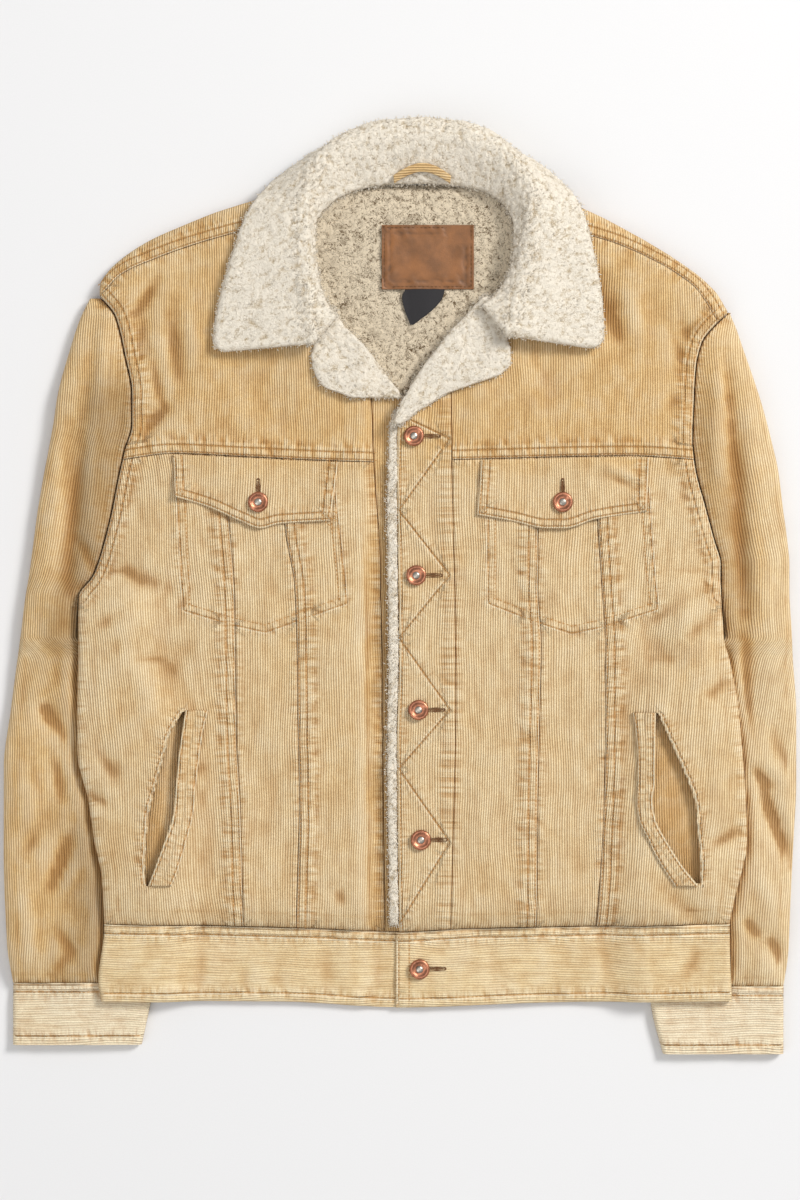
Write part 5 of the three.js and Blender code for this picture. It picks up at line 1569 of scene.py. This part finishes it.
# Groups of pieces
def build_back(context):
    bench = Workbench(context.scene.jacket_sizes)
    cloth = {"material": material("corduroy", context), "slot": "corduroy", "wall": BACK_WALL}
    flat = {"cell": 5.0, "fine": (6, 6, 6, 6), "rests_on": ["floor"]}
    seam = constant(BACK_YOKE_SEAM)
    sew_panel(bench, "back_panel_cloth", ["back_panel"],
              (right_edge, left_edge, seam, band_seam, 540, 460), back_top, body_under, seed=101,
              **flat, **cloth)
    sew_panel(bench, "back_yoke_cloth", ["back_yoke"],
              (right_edge, left_edge, top_line, seam, 530, 160), back_top, body_under, seed=102,
              **flat, **cloth)
    fused = lambda x, y: back_top(x, y) - SHOULDER_SUNK
    for name, edges, roll, seed in (
            ("right", (right_edge, right_front_edge), (3, 1.5, 4, 1.5), 103),
            ("left", (left_yoke_edge, left_edge), (1.5, 3, 4, 1.5), 104)):
        sew_panel(bench, f"shoulder_{name}", [], (*edges, top_line, shoulder_seam, 185, 28),
                  front_top, fused, seams=(f"shoulder_{name}", f"armhole_{name}"),
                  own=(f"shoulder_{name}",), seed=seed, roll=roll, cell=2.6,
                  rests_on=["back_yoke_cloth"], **cloth)
    sew_panel(bench, "waistband_back_cloth", ["waistband_back"],
              (right_edge, left_edge, band_seam, hem, 545, 66), back_top, body_under, seed=105,
              wales="across", **flat, wall=BACK_WALL, slot="corduroy_band",
              material=material("corduroy_band", context))
    bench.declare(bench.stitching("stitches_shoulders", material("thread", context)))


def pocket_mouth(rows):
    """The outline of the opening between a welt and its side panel."""
    free = np.stack([rows["free"], rows["y"]], 1)
    far = np.stack([rows["far"], rows["y"]], 1)[::-1]
    return np.concatenate([free, far])


def sew_front(bench, side, seed, surface, low, edges, widths, mouth, cloth):
    """The yoke and the three long panels of one front, from its side to its middle.

    edges are the body's side, the outer and the inner seam, the panels' front edge and the yoke's
    front edge. widths are those of the yoke and the panels.
    """
    body, outer, inner, centre, yoke = edges
    on_right = side == "right"
    facing = slice(None, None, 1 if on_right else -1)

    def keys(*names):
        return tuple(f"{name}_{side}" for name in names)

    pieces = (
        ("yoke", (body, yoke), (3, 1.5), keys("yoke", "shoulder", "armhole"), keys("yoke", "armhole")),
        ("side", (body, outer), (4, 1.3),
         keys("outer", "pocket", "armhole", "side", "yoke", "band", "mouth"), keys("outer", "mouth")),
        ("middle", (outer, inner), (1.3, 1.3), keys("inner", "outer", "pocket", "yoke", "band"), ()),
        ("centre", (inner, centre), (1.3, 1.5), keys("inner", "pocket", "yoke", "band", "placket"),
         keys("inner")),
    )
    for index, (part, sides, rounding, seams, own) in enumerate(pieces):
        ends, height, end_rounding, more = (yoke_seam, band_seam), 405, 1.3, {"crossing": keys("pocket")}
        if part == "yoke":
            ends, height, end_rounding, more = (shoulder_seam, yoke_seam), 180, 1.2, {}
        if part == "side":
            more = {**more, "hole": pocket_mouth(mouth), "lean": SIDE_LEAN if on_right else -SIDE_LEAN}
        sew_panel(bench, f"{part}_{side}_cloth", [f"front_{part}_{side}"],
                  (*sides[facing], *ends, widths[index], height), surface, low, seams=seams, own=own,
                  seed=seed + index, roll=(*rounding[facing], end_rounding, end_rounding),
                  **more, **cloth)


def build_fronts(context):
    bench = Workbench(context.scene.jacket_sizes)
    cloth = {"material": material("corduroy", context), "slot": "corduroy", "folds": FINE_BODY_FOLDS,
             "rests_on": ["back_panel_cloth"]}
    band = {"material": material("corduroy_band", context), "slot": "corduroy_band",
            "folds": BAND_FOLDS, "wales": "across", "wash_and_shade": unfaded}
    seam = front_seam
    sew_front(bench, "right", 111, right_top, right_low,
              (right_edge, seam["rightOuter"], seam["rightInner"], right_front_edge, right_front_edge),
              (190, 115, 50, 75), RIGHT_POCKET, cloth)
    sew_panel(bench, "placket_right_cloth", ["placket_right"],
              (right_front_edge, curve(UNDER_PLACKET_END, "y", "x"), constant(166), band_seam, 55, 460),
              lap_top, right_low, seed=115, **cloth)
    sew_panel(bench, "waistband_right_cloth", ["waistband_right"],
              (right_edge, constant(40), band_seam, hem, 300, 66), right_top, right_low,
              seams=("band_right", "band_low_right", "band_high_right"),
              own=("band_low_right", "band_high_right"), seed=116, roll=(4, 1.5, 1.5, 3),
              rests_on=["waistband_back_cloth"], **band)
    sew_front(bench, "left", 117, front_top, left_low,
              (left_edge, seam["leftOuter"], seam["leftInner"], placket_seam, left_yoke_edge),
              (195, 115, 55, 75), LEFT_POCKET, cloth)
    sew_panel(bench, "placket_left_cloth", ["placket_left"],
              (left_front_edge, placket_seam, constant(176), band_seam, 48, 470), front_top, left_low,
              seams=("zigzag", "placket_left", "front_left", "band_left"), own=("front_left", "zigzag"),
              seed=121, roll=(2.4, 1.3, 1.5, 1.3), cell=1.8, **cloth)
    sew_panel(bench, "waistband_left_cloth", ["waistband_left"],
              (constant(-4), left_edge, band_seam, hem, 292, 66), front_top, left_low,
              seams=("band_left", "band_low_left", "band_high_left", "band_end"),
              own=("band_low_left", "band_high_left", "band_end"), seed=122, roll=(2.6, 4, 1.5, 3),
              rests_on=["waistband_right_cloth"], **band)
    bench.declare(bench.stitching("stitches_fronts", material("thread", context)))


def build_sleeves(context):
    bench = Workbench(context.scene.jacket_sizes)
    for name, side in SIDES.items():
        sign = side["sign"]
        facing = slice(None, None, -int(sign))
        edges = (side["outer"], side["inner"])[facing]
        cuff_edges = (side["cuff_outer"], side["cuff_inner"])[facing]
        top, cuff_top, cuff_end = side["top"], side["cuff_top"], side["cuff_end"]

        def lean(y, edges=edges):
            return (edges[0](y) + edges[1](y)) / 2 * 0.85

        def sewn_edge(x, y, side=side):
            at_body = smooth((y - ARMPIT + 30) / 20)
            return at_body * (np.abs(x - side["edge"](y)) < 20)

        def turned(x, y, cuff_edges=cuff_edges):
            near = np.minimum(x - cuff_edges[0](y), cuff_edges[1](y) - x)
            return 1 - quarter_round(near / TUCK_WIDTH)

        def sleeve_wash_and_shade(x, y, side=side):
            """Painted shade beside the body, and washed out cloth with painted light along the sleeve's
            outer side.
            """
            inner, outer = side["inner"](y), side["outer"](y)
            across = (x - inner) / (outer - inner)
            deep, light = SLEEVE_WASH_AND_SHADE[name]
            deep = deep * smooth((210 - y) / 60)
            uneven = 0.16 * lattice_noise(x / 30, y / 55, 9)
            return mix(deep, light, smooth((across - 0.2 + uneven) * 1.4))

        seam_y = constant(cuff_top)
        for key, rows, width, seed in (("sleeve_end", (), 6, 51), ("cuff_seam", (1.8,), 5, 52)):
            SEAM_LINES[f"{key}_{name}"] = Seam(line_across(seam_y, -345, 345), rows, width, -1,
                                               rise=0.4, seed=seed)
        for key, level, seed in (("cuff_high", cuff_top - 8, 53), ("cuff_low", cuff_end + 8, 54)):
            ends = sorted((cuff_edges[0](level) + 3, cuff_edges[1](level) - 3))
            SEAM_LINES[f"{key}_{name}"] = Seam(line_across(constant(level), *ends), (0,), seed=seed)
        sew_tube(bench, f"sleeve_{name}_cloth", [f"sleeve_{name}_upper", f"sleeve_{name}_under"],
                 (*edges, constant(top), constant(cuff_top), SLEEVE_ACROSS, top - cuff_top),
                 lambda x, y, side=side: sleeve_top(side, x, y),
                 lambda x, y, side=side: sleeve_under(side, x, y),
                 material=material("corduroy", context),
                 seams=(f"armhole_{name}", f"sleeve_end_{name}"), seed=130 + int(sign), cell=3.1,
                 rests_on=["floor"], lean=lean, sewn_edge=sewn_edge,
                 folds=(SLEEVE_FOLDS, FINE_SLEEVE_FOLDS), wash_and_shade=sleeve_wash_and_shade)
        sew_tube(bench, f"cuff_{name}_cloth", [f"cuff_{name}_upper", f"cuff_{name}_under"],
                 (*cuff_edges, constant(cuff_top), constant(cuff_end), SLEEVE_ACROSS,
                  cuff_top - cuff_end),
                 lambda x, y, turned=turned: EDGE_HEIGHT + 1.5 - EDGE_TUCK * turned(x, y),
                 lambda x, y, turned=turned: EDGE_TUCK * turned(x, y),
                 material=material("corduroy_band", context),
                 seams=(f"cuff_seam_{name}", f"cuff_high_{name}", f"cuff_low_{name}"),
                 own=(f"cuff_high_{name}", f"cuff_low_{name}"), seed=140 + int(sign), wales="across",
                 cell=2.4, wall=2.6, rests_on=["floor"])
    bench.declare(bench.stitching("stitches_cuffs", material("thread", context)))


def laid_on(surface, thickness):
    """Upper and lower surface of a piece that lies on another surface."""
    low = lambda x, y: surface(x, y) + LAID_ON
    return (lambda x, y: low(x, y) + thickness), low


def build_pockets(context):
    bench = Workbench(context.scene.jacket_sizes)
    cloth = {"material": material("corduroy", context), "slot": "corduroy"}
    for side, rows in (("right", RIGHT_POCKET), ("left", LEFT_POCKET)):
        free, sewn, far = (curve(rows, "y", key) for key in ("free", "sewn", "far"))
        high, low = rows["y"][0], rows["y"][-1]
        turn = 1 if side == "right" else -1
        facing = slice(None, None, turn)
        out = -BAG_BEYOND * turn
        bag_edges = (lambda y, out=out, far=far: far(y) + out,
                     lambda y, out=out, free=free: free(y) - out)[facing]
        sew_panel(bench, f"pocket_bag_{side}_cloth", [f"pocket_bag_{side}"],
                  (*bag_edges, constant(high + BAG_BEYOND), constant(low - BAG_BEYOND), 45,
                   high - low + 2 * BAG_BEYOND),
                  lambda x, y: back_top(x, y) + GAP + 1.4, right_low, seed=151,
                  roll=(0.6, 0.6, 0.6, 0.6), fine=(3, 3, 3, 3), rests_on=["back_panel_cloth"],
                  **{**cloth, "material": material("corduroy_dim", context)})
        top, under = laid_on(front_top, WELT_THICKNESS)
        SEAM_LINES[f"welt_sewn_{side}"] = Seam(line_along(sewn, low, high), (1.8,), 3, -turn, 0.1, 55)
        SEAM_LINES[f"welt_free_{side}"] = Seam(line_along(free, low, high), (2.2,), 4, turn, 0.2, 56)
        sew_panel(bench, f"welt_{side}_cloth", [f"welt_{side}"],
                  (*(free, sewn)[facing], constant(high), constant(low), 20, high - low), top,
                  under, folds=FINE_BODY_FOLDS, seams=(f"welt_sewn_{side}", f"welt_free_{side}"),
                  own=(f"welt_sewn_{side}", f"welt_free_{side}"), seed=152, roll=(1.4, 1.4, 1.2, 1.2),
                  cell=1.6, rests_on=[f"side_{side}_cloth"], **cloth)
    for side, edge, right_key, left_key in (("right", RIGHT_FLAP, "right", "left"),
                                            ("left", LEFT_FLAP, "leftFlapRight", "leftFlapLeft")):
        right, left = curve(FLAP_SIDES, "y", right_key), curve(FLAP_SIDES, "y", left_key)
        point = curve(edge, "x", "y")
        x0, x1 = edge["x"][0], edge["x"][-1]
        outline = np.concatenate([
            line_along(right, point(x0), 110, 14)[:-1], line_across(point, x0, x1, 40),
            line_along(left, point(x1), 110, 14)[::-1][1:],
        ])
        SEAM_LINES[f"flap_{side}"] = Seam(outline, (2.2, 8), 8, 1, 0.2, 57)
        top, under = laid_on(front_top, FLAP_THICKNESS + 0.6)
        sew_panel(bench, f"flap_{side}_cloth", [f"flap_{side}"],
                  (right, left, lambda x: yoke_seam(x) - 1, point, 145, 55),
                  flap_surface(side, top), under, folds=FINE_BODY_FOLDS, seams=(f"flap_{side}",),
                  own=(f"flap_{side}",), seed=153, roll=(1.8, 1.8, 1.3, 1.8), cell=2.2,
                  rests_on=[f"middle_{side}_cloth"], **cloth)
    bench.declare(bench.stitching("stitches_pockets", material("thread", context)))


def flap_surface(side, top):
    """The right flap's outer corner curls up and the left flap has a small crease."""
    def height(x, y):
        if side == "right":
            off = np.hypot(x - FLAP_CURL["x"], y - FLAP_CURL["y"])
            return top(x, y) + FLAP_CURL["rise"] * smooth(1 - off / FLAP_CURL["reach"])
        return top(x, y) + fold_rise(FLAP_CREASE, x, y)
    return height


# What shows of the lining: it rises to the neck seam, and its edges lie under the collar and lapels.
LINING_SHOWN = table(
    "y right left",
    (349, -30, 62), (341, -48, 80), (330, -64, 91), (312, -77, 99), (290, -82, 102), (260, -74, 91),
    (241, -65, 71), (222, -47, 53), (200, -30, 43), (184, -19, 30), (166, -7, 13),
)
LAPEL_OVER_EDGE = 3.2
PILE_EDGE_SHOWN = table(
    "y inner outer",
    (152, -4, 1.5), (139, -8.5, -1.5), (60, -11, -2.6), (-59, -9.5, -1.4), (-132, -11, -3),
    (-292, -8.5, -1.6),
)


def lapel_shown(rows, turn, high, inner, outer):
    """A lapel that starts higher, under the collar, and hangs over the front's edge."""
    return {
        "y": np.concatenate([[high], rows["y"]]),
        "inner": np.concatenate([[inner], rows["inner"]]) + turn * LAPEL_OVER_EDGE,
        "outer": np.concatenate([[outer], rows["outer"]]),
    }


RIGHT_LAPEL_SHOWN = lapel_shown(RIGHT_LAPEL, 1, 240, -60, -68)
LEFT_LAPEL_SHOWN = lapel_shown(LEFT_LAPEL, -1, 250, 74, 82)


def lining_top(x, y):
    """The upper side of the lining where it lies on the back."""
    return back_top(x, y) + GAP + LINING_THICKNESS


def lining_bowl(x, y):
    """The neck's lining, which rises from the back to the neck seam all round."""
    right, left = curve(LINING_SHOWN, "y", "right")(y), curve(LINING_SHOWN, "y", "left")(y)
    rim = np.minimum(np.minimum(x - right, left - x), 351 - y)
    reach = np.minimum(16, (left - right) / 3)
    neck_seam = front_top(x, y) + mix(-1, 4, smooth((y - 236) / 14)) * (1 - smooth((y - 320) / 20))
    flat = lining_top(x, y)
    return mix(flat, np.maximum(neck_seam, flat), smooth(1 - rim / reach))


def under_patch(x, y):
    """Where the patch and the care label lie on the lining."""
    return (np.abs(x - NECK_PATCH["x"]) < 44) & (y > 222) & (y < 318)


def build_lining(context):
    bench = Workbench(context.scene.jacket_sizes)
    # The neck lining takes a darker copy of the sherpa, painted shade inside the neck
    pile, dark = material("sherpa", context), material("sherpa_lining_shaded", context)

    def across(rows, right_key, left_key, width):
        high, low = rows["y"][0], rows["y"][-1]
        return (curve(rows, "y", right_key), curve(rows, "y", left_key), constant(high),
                constant(low), width, high - low)

    build_collar(bench, pile)
    pile_sheet(bench, "neck_lining_pile", ["neck_lining"], across(LINING_SHOWN, "right", "left", 160),
               lining_bowl, right_low, material=dark, seed=61, cell=1.9,
               curl=1.1, rests_on=["back_yoke_cloth"], clear=under_patch)
    for side, surface, edges, seed in (
            ("right", right_top, across(RIGHT_LAPEL_SHOWN, "outer", "inner", 52), 62),
            ("left", front_top, across(LEFT_LAPEL_SHOWN, "inner", "outer", 62), 63)):
        pile_sheet(bench, f"lapel_{side}_pile", [f"lapel_{side}"], edges,
                   *laid_on(surface, LAPEL_THICKNESS), material=pile, seed=seed,
                   rests_on=[f"yoke_{side}_cloth"])
    pile_sheet(bench, "front_edge_pile", ["pile_edge"], across(PILE_EDGE_SHOWN, "inner", "outer", 8),
               lambda x, y: front_top(x, y) - 1, lambda x, y: lap_top(x, y) + GAP, material=pile,
               seed=64, roll=2.2, cell=1.5, curl=0.8, uneven=0.6, layers=1.7, tufts=0.3,
               rests_on=["placket_right_cloth"])
    bench.declare()


def build_labels(context):
    bench = Workbench(context.scene.jacket_sizes)
    patch = NECK_PATCH
    right, left = (patch["x"] + sign * patch["width"] / 2 for sign in (-1, 1))
    top, bottom = (patch["y"] + sign * patch["height"] / 2 for sign in (1, -1))
    outline = np.array([(right, top), (right, bottom), (left, bottom), (left, top), (right, top)])
    fine = np.concatenate([np.linspace(a, b, 30, endpoint=False) for a, b in zip(outline, outline[1:])])
    SEAM_LINES["patch_edge"] = Seam(fine, (2.4,), 0, 1, seed=58)
    SEAM_LINES["patch_border"] = Seam(offset_line(fine, 6.5), (0, 1.6), 0, 1, seed=59)
    high, low = laid_on(lambda x, y: lining_top(x, y) + 0.5, patch["thickness"])
    sew_panel(bench, "patch_leather", ["neck_patch"],
              (*map(constant, (right, left, top, bottom)), patch["width"], patch["height"]), high, low,
              seams=("patch_edge", "patch_border"), own=("patch_edge",), seed=160, cell=1.4,
              roll=(0.8, 0.8, 0.8, 0.8), slot="leather", material=material("leather", context),
              rests_on=["neck_lining_pile"])
    label_top, label_low = laid_on(lambda x, y: lining_top(x, y) + 0.6, 0.8)
    fold = lambda x, y: label_top(x, y) + 1.2 * np.sin((x - 7) / 30 * math.pi)
    label_edges = (
        curve(table("y x", (258, 5), (250, 1.5), (242, 3), (226, 9)), "y", "x"),
        curve(table("y x", (258, 39), (250, 37), (240, 29), (232, 19), (226, 11)), "y", "x"),
    )
    sew_panel(bench, "care_label_cloth", ["care_label"],
              (*label_edges, constant(257.5), constant(226.5), 30, 31), fold, label_low,
              seed=161, cell=1.6, roll=(0.4, 0.4, 0.4, 0.4), fine=(3, 3, 3, 3), slot="label",
              material=material("label", context), rests_on=["neck_lining_pile"])
    bench.declare(bench.stitching("stitches_patch", material("thread_dark", context)))
    build_loop(context)


def build_loop(context):
    """The loop that the jacket hangs from, a folded strip along the back of the collar's stand."""
    t = np.linspace(0, 1, LOOP["rows"])[:, None]
    half = np.linspace(-0.5, 0.5, LOOP["columns"])[None, :]
    share = LOOP["along"] + LOOP["bow"] * np.sin(math.pi * t) + half * LOOP["width"]
    station = np.broadcast_to(mix(LOOP["from"], LOOP["to"], t), share.shape)
    base = COLLAR_THICKNESS / 2 + 2 * LAID_ON + 1.0
    arch = 0.6 * np.cos(half * math.pi) * np.ones_like(t)
    upper, _ = collar_face(station, share, base + LOOP["thickness"] * 0.6 + arch)
    lower, _ = collar_face(station, share, np.full(share.shape, base))
    zeros = np.zeros(2 * share.size)
    marks = {key: zeros for key in ("tone", "seam", "along", "shade", "wash_and_shade")}
    loop = slab("hanger_loop_cloth", upper, lower, np.stack([share * 200, station * 30], -1),
                turned=True, row_a=zeros + NO_ROW, row_b=zeros + NO_ROW, **marks)
    finish_piece(loop, material("corduroy", context), ["hanger_loop"])


def button_base(x, y, on):
    """The height of the cloth that a button stands on."""
    height = float(front_top(np.array([x]), np.array([y]))[0])
    return height + LAID_ON + (LAID_ON + FLAP_THICKNESS if on == "flap" else 0)


def pick_top(mesh):
    """Selects the highest face of the mesh in edit mode."""
    faces = bmesh.from_edit_mesh(mesh).faces
    for face in faces:
        face.select = False
    top = max(faces, key=lambda f: (round(f.calc_center_median().z, 7), len(f.verts)))
    top.select = True
    bmesh.update_edit_mesh(mesh)


def model_button(name, x, y, z):
    """A ring with a rolled rim and a dished middle on a short shank."""
    bpy.ops.object.select_all(action="DESELECT")
    bpy.ops.mesh.primitive_cylinder_add(vertices=48, radius=BUTTON["radius"] * MM,
                                        depth=BUTTON["plate"] * MM,
                                        location=(x * MM, y * MM, (z + BUTTON["plate_middle"]) * MM))
    ring = bpy.context.active_object
    ring.name = name
    bpy.ops.object.mode_set(mode="EDIT")
    bpy.ops.mesh.select_mode(type="FACE")
    pick_top(ring.data)
    for inset, rise in BUTTON_FACE:
        bpy.ops.mesh.inset(thickness=inset * MM)
        bpy.ops.transform.translate(value=(0, 0, rise * MM))
    bpy.ops.object.mode_set(mode="OBJECT")
    bpy.ops.object.transform_apply(location=True, rotation=True, scale=True)
    bevel = ring.modifiers.new("Rounding", "BEVEL")
    bevel.width = BUTTON["rounding"] * MM
    bevel.segments = 2
    bpy.ops.object.modifier_apply(modifier=bevel.name)
    bpy.ops.object.select_all(action="DESELECT")
    bpy.ops.mesh.primitive_cylinder_add(vertices=24, radius=BUTTON["shank_radius"] * MM,
                                        depth=BUTTON["shank"] * MM,
                                        location=(x * MM, y * MM, (z + BUTTON["shank"] / 2) * MM))
    bpy.ops.object.transform_apply(location=True, rotation=True, scale=True)
    ring.select_set(True)
    bpy.context.view_layer.objects.active = ring
    bpy.ops.object.join()
    bpy.ops.object.shade_smooth_by_angle(angle=math.radians(35))
    return ring


def model_stud(name, x, y, z):
    """The flattened ball in the middle of a button."""
    bpy.ops.object.select_all(action="DESELECT")
    bpy.ops.mesh.primitive_uv_sphere_add(segments=24, ring_count=12, radius=BUTTON["stud_radius"] * MM,
                                         location=(x * MM, y * MM, (z + BUTTON["stud_middle"]) * MM))
    stud = bpy.context.active_object
    stud.name = name
    bpy.ops.transform.resize(value=(1, 1, BUTTON["stud_share"]))
    bpy.ops.object.transform_apply(location=True, rotation=True, scale=True)
    bpy.ops.object.shade_smooth()
    return stud


def build_buttons(context):
    for name, x, y, on in BUTTONS:
        z = button_base(x, y, on)
        ring = model_button(f"{name}_ring", x, y, z)
        finish_piece(ring, material("copper", context), [name])
        finish_piece(model_stud(f"{name}_stud", x, y, z), material("nickel", context))


def keyhole_rings(context):
    """Thread round each buttonhole and its dark slit, a sunk piece of painted shade for the hole, as two
    joined pieces.
    """
    ring_points, ring_quads, slit_points, slit_quads = [], [], [], []
    around, sides = 48, 6
    for name, x, y, on in BUTTONS:
        upright_hole = on == "flap"
        centre = np.array([x, y + 12.5]) if upright_hole else np.array([x + KEYHOLE["reach"] - 3, y])
        turn = np.linspace(0, 2 * math.pi, around, endpoint=False)
        half = (KEYHOLE["length"] - KEYHOLE["width"]) / 2
        bulb = 1 + 0.35 * smooth(-np.cos(turn))
        px = np.sign(np.cos(turn)) * half * smooth(np.abs(np.cos(turn)) * 2.2)
        px = px + KEYHOLE["width"] / 2 * np.cos(turn) * bulb
        py = KEYHOLE["width"] / 2 * np.sin(turn) * bulb
        if upright_hole:
            px, py = py, px
        plan = np.stack([px, py], 1) + centre
        z = SURFACES[HOLES_ON.get(name, "placket_left_cloth")](plan[:, 0], plan[:, 1]) + 0.4
        middle = np.column_stack([plan, z])
        outward = unit(np.column_stack([plan - centre, np.zeros(around)]))
        angle = np.linspace(0, 2 * math.pi, sides, endpoint=False)
        sideways = np.cos(angle)[None, :, None] * outward[:, None] * 1.3
        upwards = np.sin(angle)[None, :, None] * np.array([0, 0, 1]) * 0.8
        tube = middle[:, None] + KEYHOLE["thread"] * (sideways + upwards)
        start = sum(len(p) for p in ring_points)
        i, j = np.meshgrid(np.arange(around), np.arange(sides), indexing="ij")
        corner = lambda a, b: start + (a % around) * sides + b % sides
        ring_quads.append(np.stack([corner(i, j), corner(i + 1, j), corner(i + 1, j + 1),
                                    corner(i, j + 1)], -1).reshape(-1, 4))
        ring_points.append(tube.reshape(-1, 3))
        # The slit is a shallow dark pit, painted shade for the hole
        narrow = (0.45, 0.8) if upright_hole else (0.8, 0.45)
        rim = np.column_stack([centre + (plan - centre) * narrow, z - 0.1])
        floor = rim - (0, 0, 0.5)
        top_middle, low_middle = rim.mean(0), floor.mean(0)
        start = sum(len(p) for p in slit_points)
        k = np.arange(around)
        n = (k + 1) % around
        slit_points.append(np.concatenate([rim, floor, [top_middle], [low_middle]]))
        slit_quads.append(start + np.concatenate([
            np.stack([k, n, np.full(around, 2 * around)], 1),
            np.stack([n + around, k + around, np.full(around, 2 * around + 1)], 1),
            np.stack([n, k, k + around], 1), np.stack([n, k + around, n + around], 1),
        ]))
    rings = make_mesh("buttonholes", np.concatenate(ring_points), np.concatenate(ring_quads))
    slits = make_mesh("buttonhole_slits", np.concatenate(slit_points), np.concatenate(slit_quads),
                      smooth_faces=False)
    finish_piece(rings, material("thread_dark", context))
    finish_piece(slits, material("thread_dark", context))


def area_light(name, place, width, energy, colour):
    """A square lamp that points at the origin."""
    light = bpy.data.lights.new(name, "AREA")
    light.shape = "SQUARE"
    light.size = width
    light.energy = energy
    light.color = colour
    lamp = bpy.data.objects.new(name, light)
    lamp.location = place
    lamp.rotation_euler = (Vector() - Vector(place)).to_track_quat("-Z", "Y").to_euler()
    bpy.context.scene.collection.objects.link(lamp)


def build_stage(context):
    scene = context.scene
    bpy.ops.object.select_all(action="DESELECT")
    bpy.ops.mesh.primitive_plane_add(size=FLOOR_SIZE, location=(0, 0, FLOOR_HEIGHT))
    floor = context.active_object
    floor.name = "floor"
    floor.data.materials.append(material("floor", context))
    floor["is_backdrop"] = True
    for lamp in LIGHTS:
        area_light(*lamp)
    world = bpy.data.worlds.new("Studio")
    world.use_nodes = True
    background = world.node_tree.nodes["Background"].inputs
    background["Color"].default_value = (1, 1, 1, 1)
    background["Strength"].default_value = WORLD_LIGHT
    scene.world = world
    camera_data = bpy.data.cameras.new("camera")
    camera_data.lens = LENS
    camera_data.sensor_width = SENSOR
    camera = bpy.data.objects.new("camera", camera_data)
    frame_height = PHOTO_HEIGHT * PHOTO_SCALE * MM
    distance = frame_height * LENS / SENSOR
    camera.location = (0, PHOTO_CENTRE_Y * MM, distance)
    scene.collection.objects.link(camera)
    scene.camera = camera
    scene.view_settings.view_transform = "Standard"


class JACKET_OT_back(bpy.types.Operator):
    """Back panel, back yoke with the shoulders, back waistband"""

    bl_idname = "jacket.back"
    bl_label = "Back"

    def execute(self, context):
        build_back(context)
        return {"FINISHED"}


class JACKET_OT_fronts(bpy.types.Operator):
    """Front yokes, long panels, plackets and front waistbands with their stitching"""

    bl_idname = "jacket.fronts"
    bl_label = "Fronts"

    def execute(self, context):
        build_fronts(context)
        return {"FINISHED"}


class JACKET_OT_sleeves(bpy.types.Operator):
    """Sleeves and cuffs as tubes of cloth"""

    bl_idname = "jacket.sleeves"
    bl_label = "Sleeves"

    def execute(self, context):
        build_sleeves(context)
        return {"FINISHED"}


class JACKET_OT_pockets(bpy.types.Operator):
    """Hand pockets with welts and bags, and the chest flaps"""

    bl_idname = "jacket.pockets"
    bl_label = "Pockets"

    def execute(self, context):
        build_pockets(context)
        return {"FINISHED"}


class JACKET_OT_lining(bpy.types.Operator):
    """Sherpa collar, lapels, neck lining and front edge"""

    bl_idname = "jacket.lining"
    bl_label = "Collar and lining"

    def execute(self, context):
        build_lining(context)
        return {"FINISHED"}


class JACKET_OT_labels(bpy.types.Operator):
    """Leather patch, care label and hanger loop in the neck"""

    bl_idname = "jacket.labels"
    bl_label = "Labels and loop"

    def execute(self, context):
        build_labels(context)
        return {"FINISHED"}


class JACKET_OT_buttons(bpy.types.Operator):
    """Copper buttons with nickel studs"""

    bl_idname = "jacket.buttons"
    bl_label = "Buttons"

    def execute(self, context):
        build_buttons(context)
        return {"FINISHED"}


class JACKET_OT_buttonholes(bpy.types.Operator):
    """Thread round the buttonholes"""

    bl_idname = "jacket.buttonholes"
    bl_label = "Buttonholes"

    def execute(self, context):
        keyhole_rings(context)
        return {"FINISHED"}


class JACKET_OT_stage(bpy.types.Operator):
    """Floor, lights, world and camera"""

    bl_idname = "jacket.stage"
    bl_label = "Stage"

    def execute(self, context):
        build_stage(context)
        return {"FINISHED"}


OPERATORS = (
    JACKET_OT_back, JACKET_OT_fronts, JACKET_OT_sleeves, JACKET_OT_pockets, JACKET_OT_lining,
    JACKET_OT_labels, JACKET_OT_buttons, JACKET_OT_buttonholes, JACKET_OT_stage,
)


class JACKET_PT_build(bpy.types.Panel):
    """The groups of the jacket in the order in which they are built"""

    bl_idname = "JACKET_PT_build"
    bl_label = "Jacket"
    bl_space_type = "VIEW_3D"
    bl_region_type = "UI"
    bl_category = "Jacket"

    def draw(self, context):
        for step in OPERATORS:
            self.layout.operator(step.bl_idname)
        for group in (context.scene.jacket_sizes, context.scene.jacket_colours):
            for key in type(group).__annotations__:
                self.layout.prop(group, key)


CLASSES = (JacketSizes, JacketColours, *OPERATORS, JACKET_PT_build)


def register():
    for cls in CLASSES:
        bpy.utils.register_class(cls)
    bpy.types.Scene.jacket_sizes = bpy.props.PointerProperty(type=JacketSizes)
    bpy.types.Scene.jacket_colours = bpy.props.PointerProperty(type=JacketColours)


def unregister():
    del bpy.types.Scene.jacket_colours
    del bpy.types.Scene.jacket_sizes
    for cls in reversed(CLASSES):
        bpy.utils.unregister_class(cls)


def main():
    register()
    bpy.ops.jacket.back()
    bpy.ops.jacket.fronts()
    bpy.ops.jacket.sleeves()
    bpy.ops.jacket.pockets()
    bpy.ops.jacket.lining()
    bpy.ops.jacket.labels()
    bpy.ops.jacket.buttons()
    bpy.ops.jacket.buttonholes()
    bpy.ops.jacket.stage()
    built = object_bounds()
    ({"cad": [list(map(float, corner)) for corner in CAD_BOX],
               "built": [list(map(float, corner)) for corner in built]})


if __name__ == "__main__":
    main()
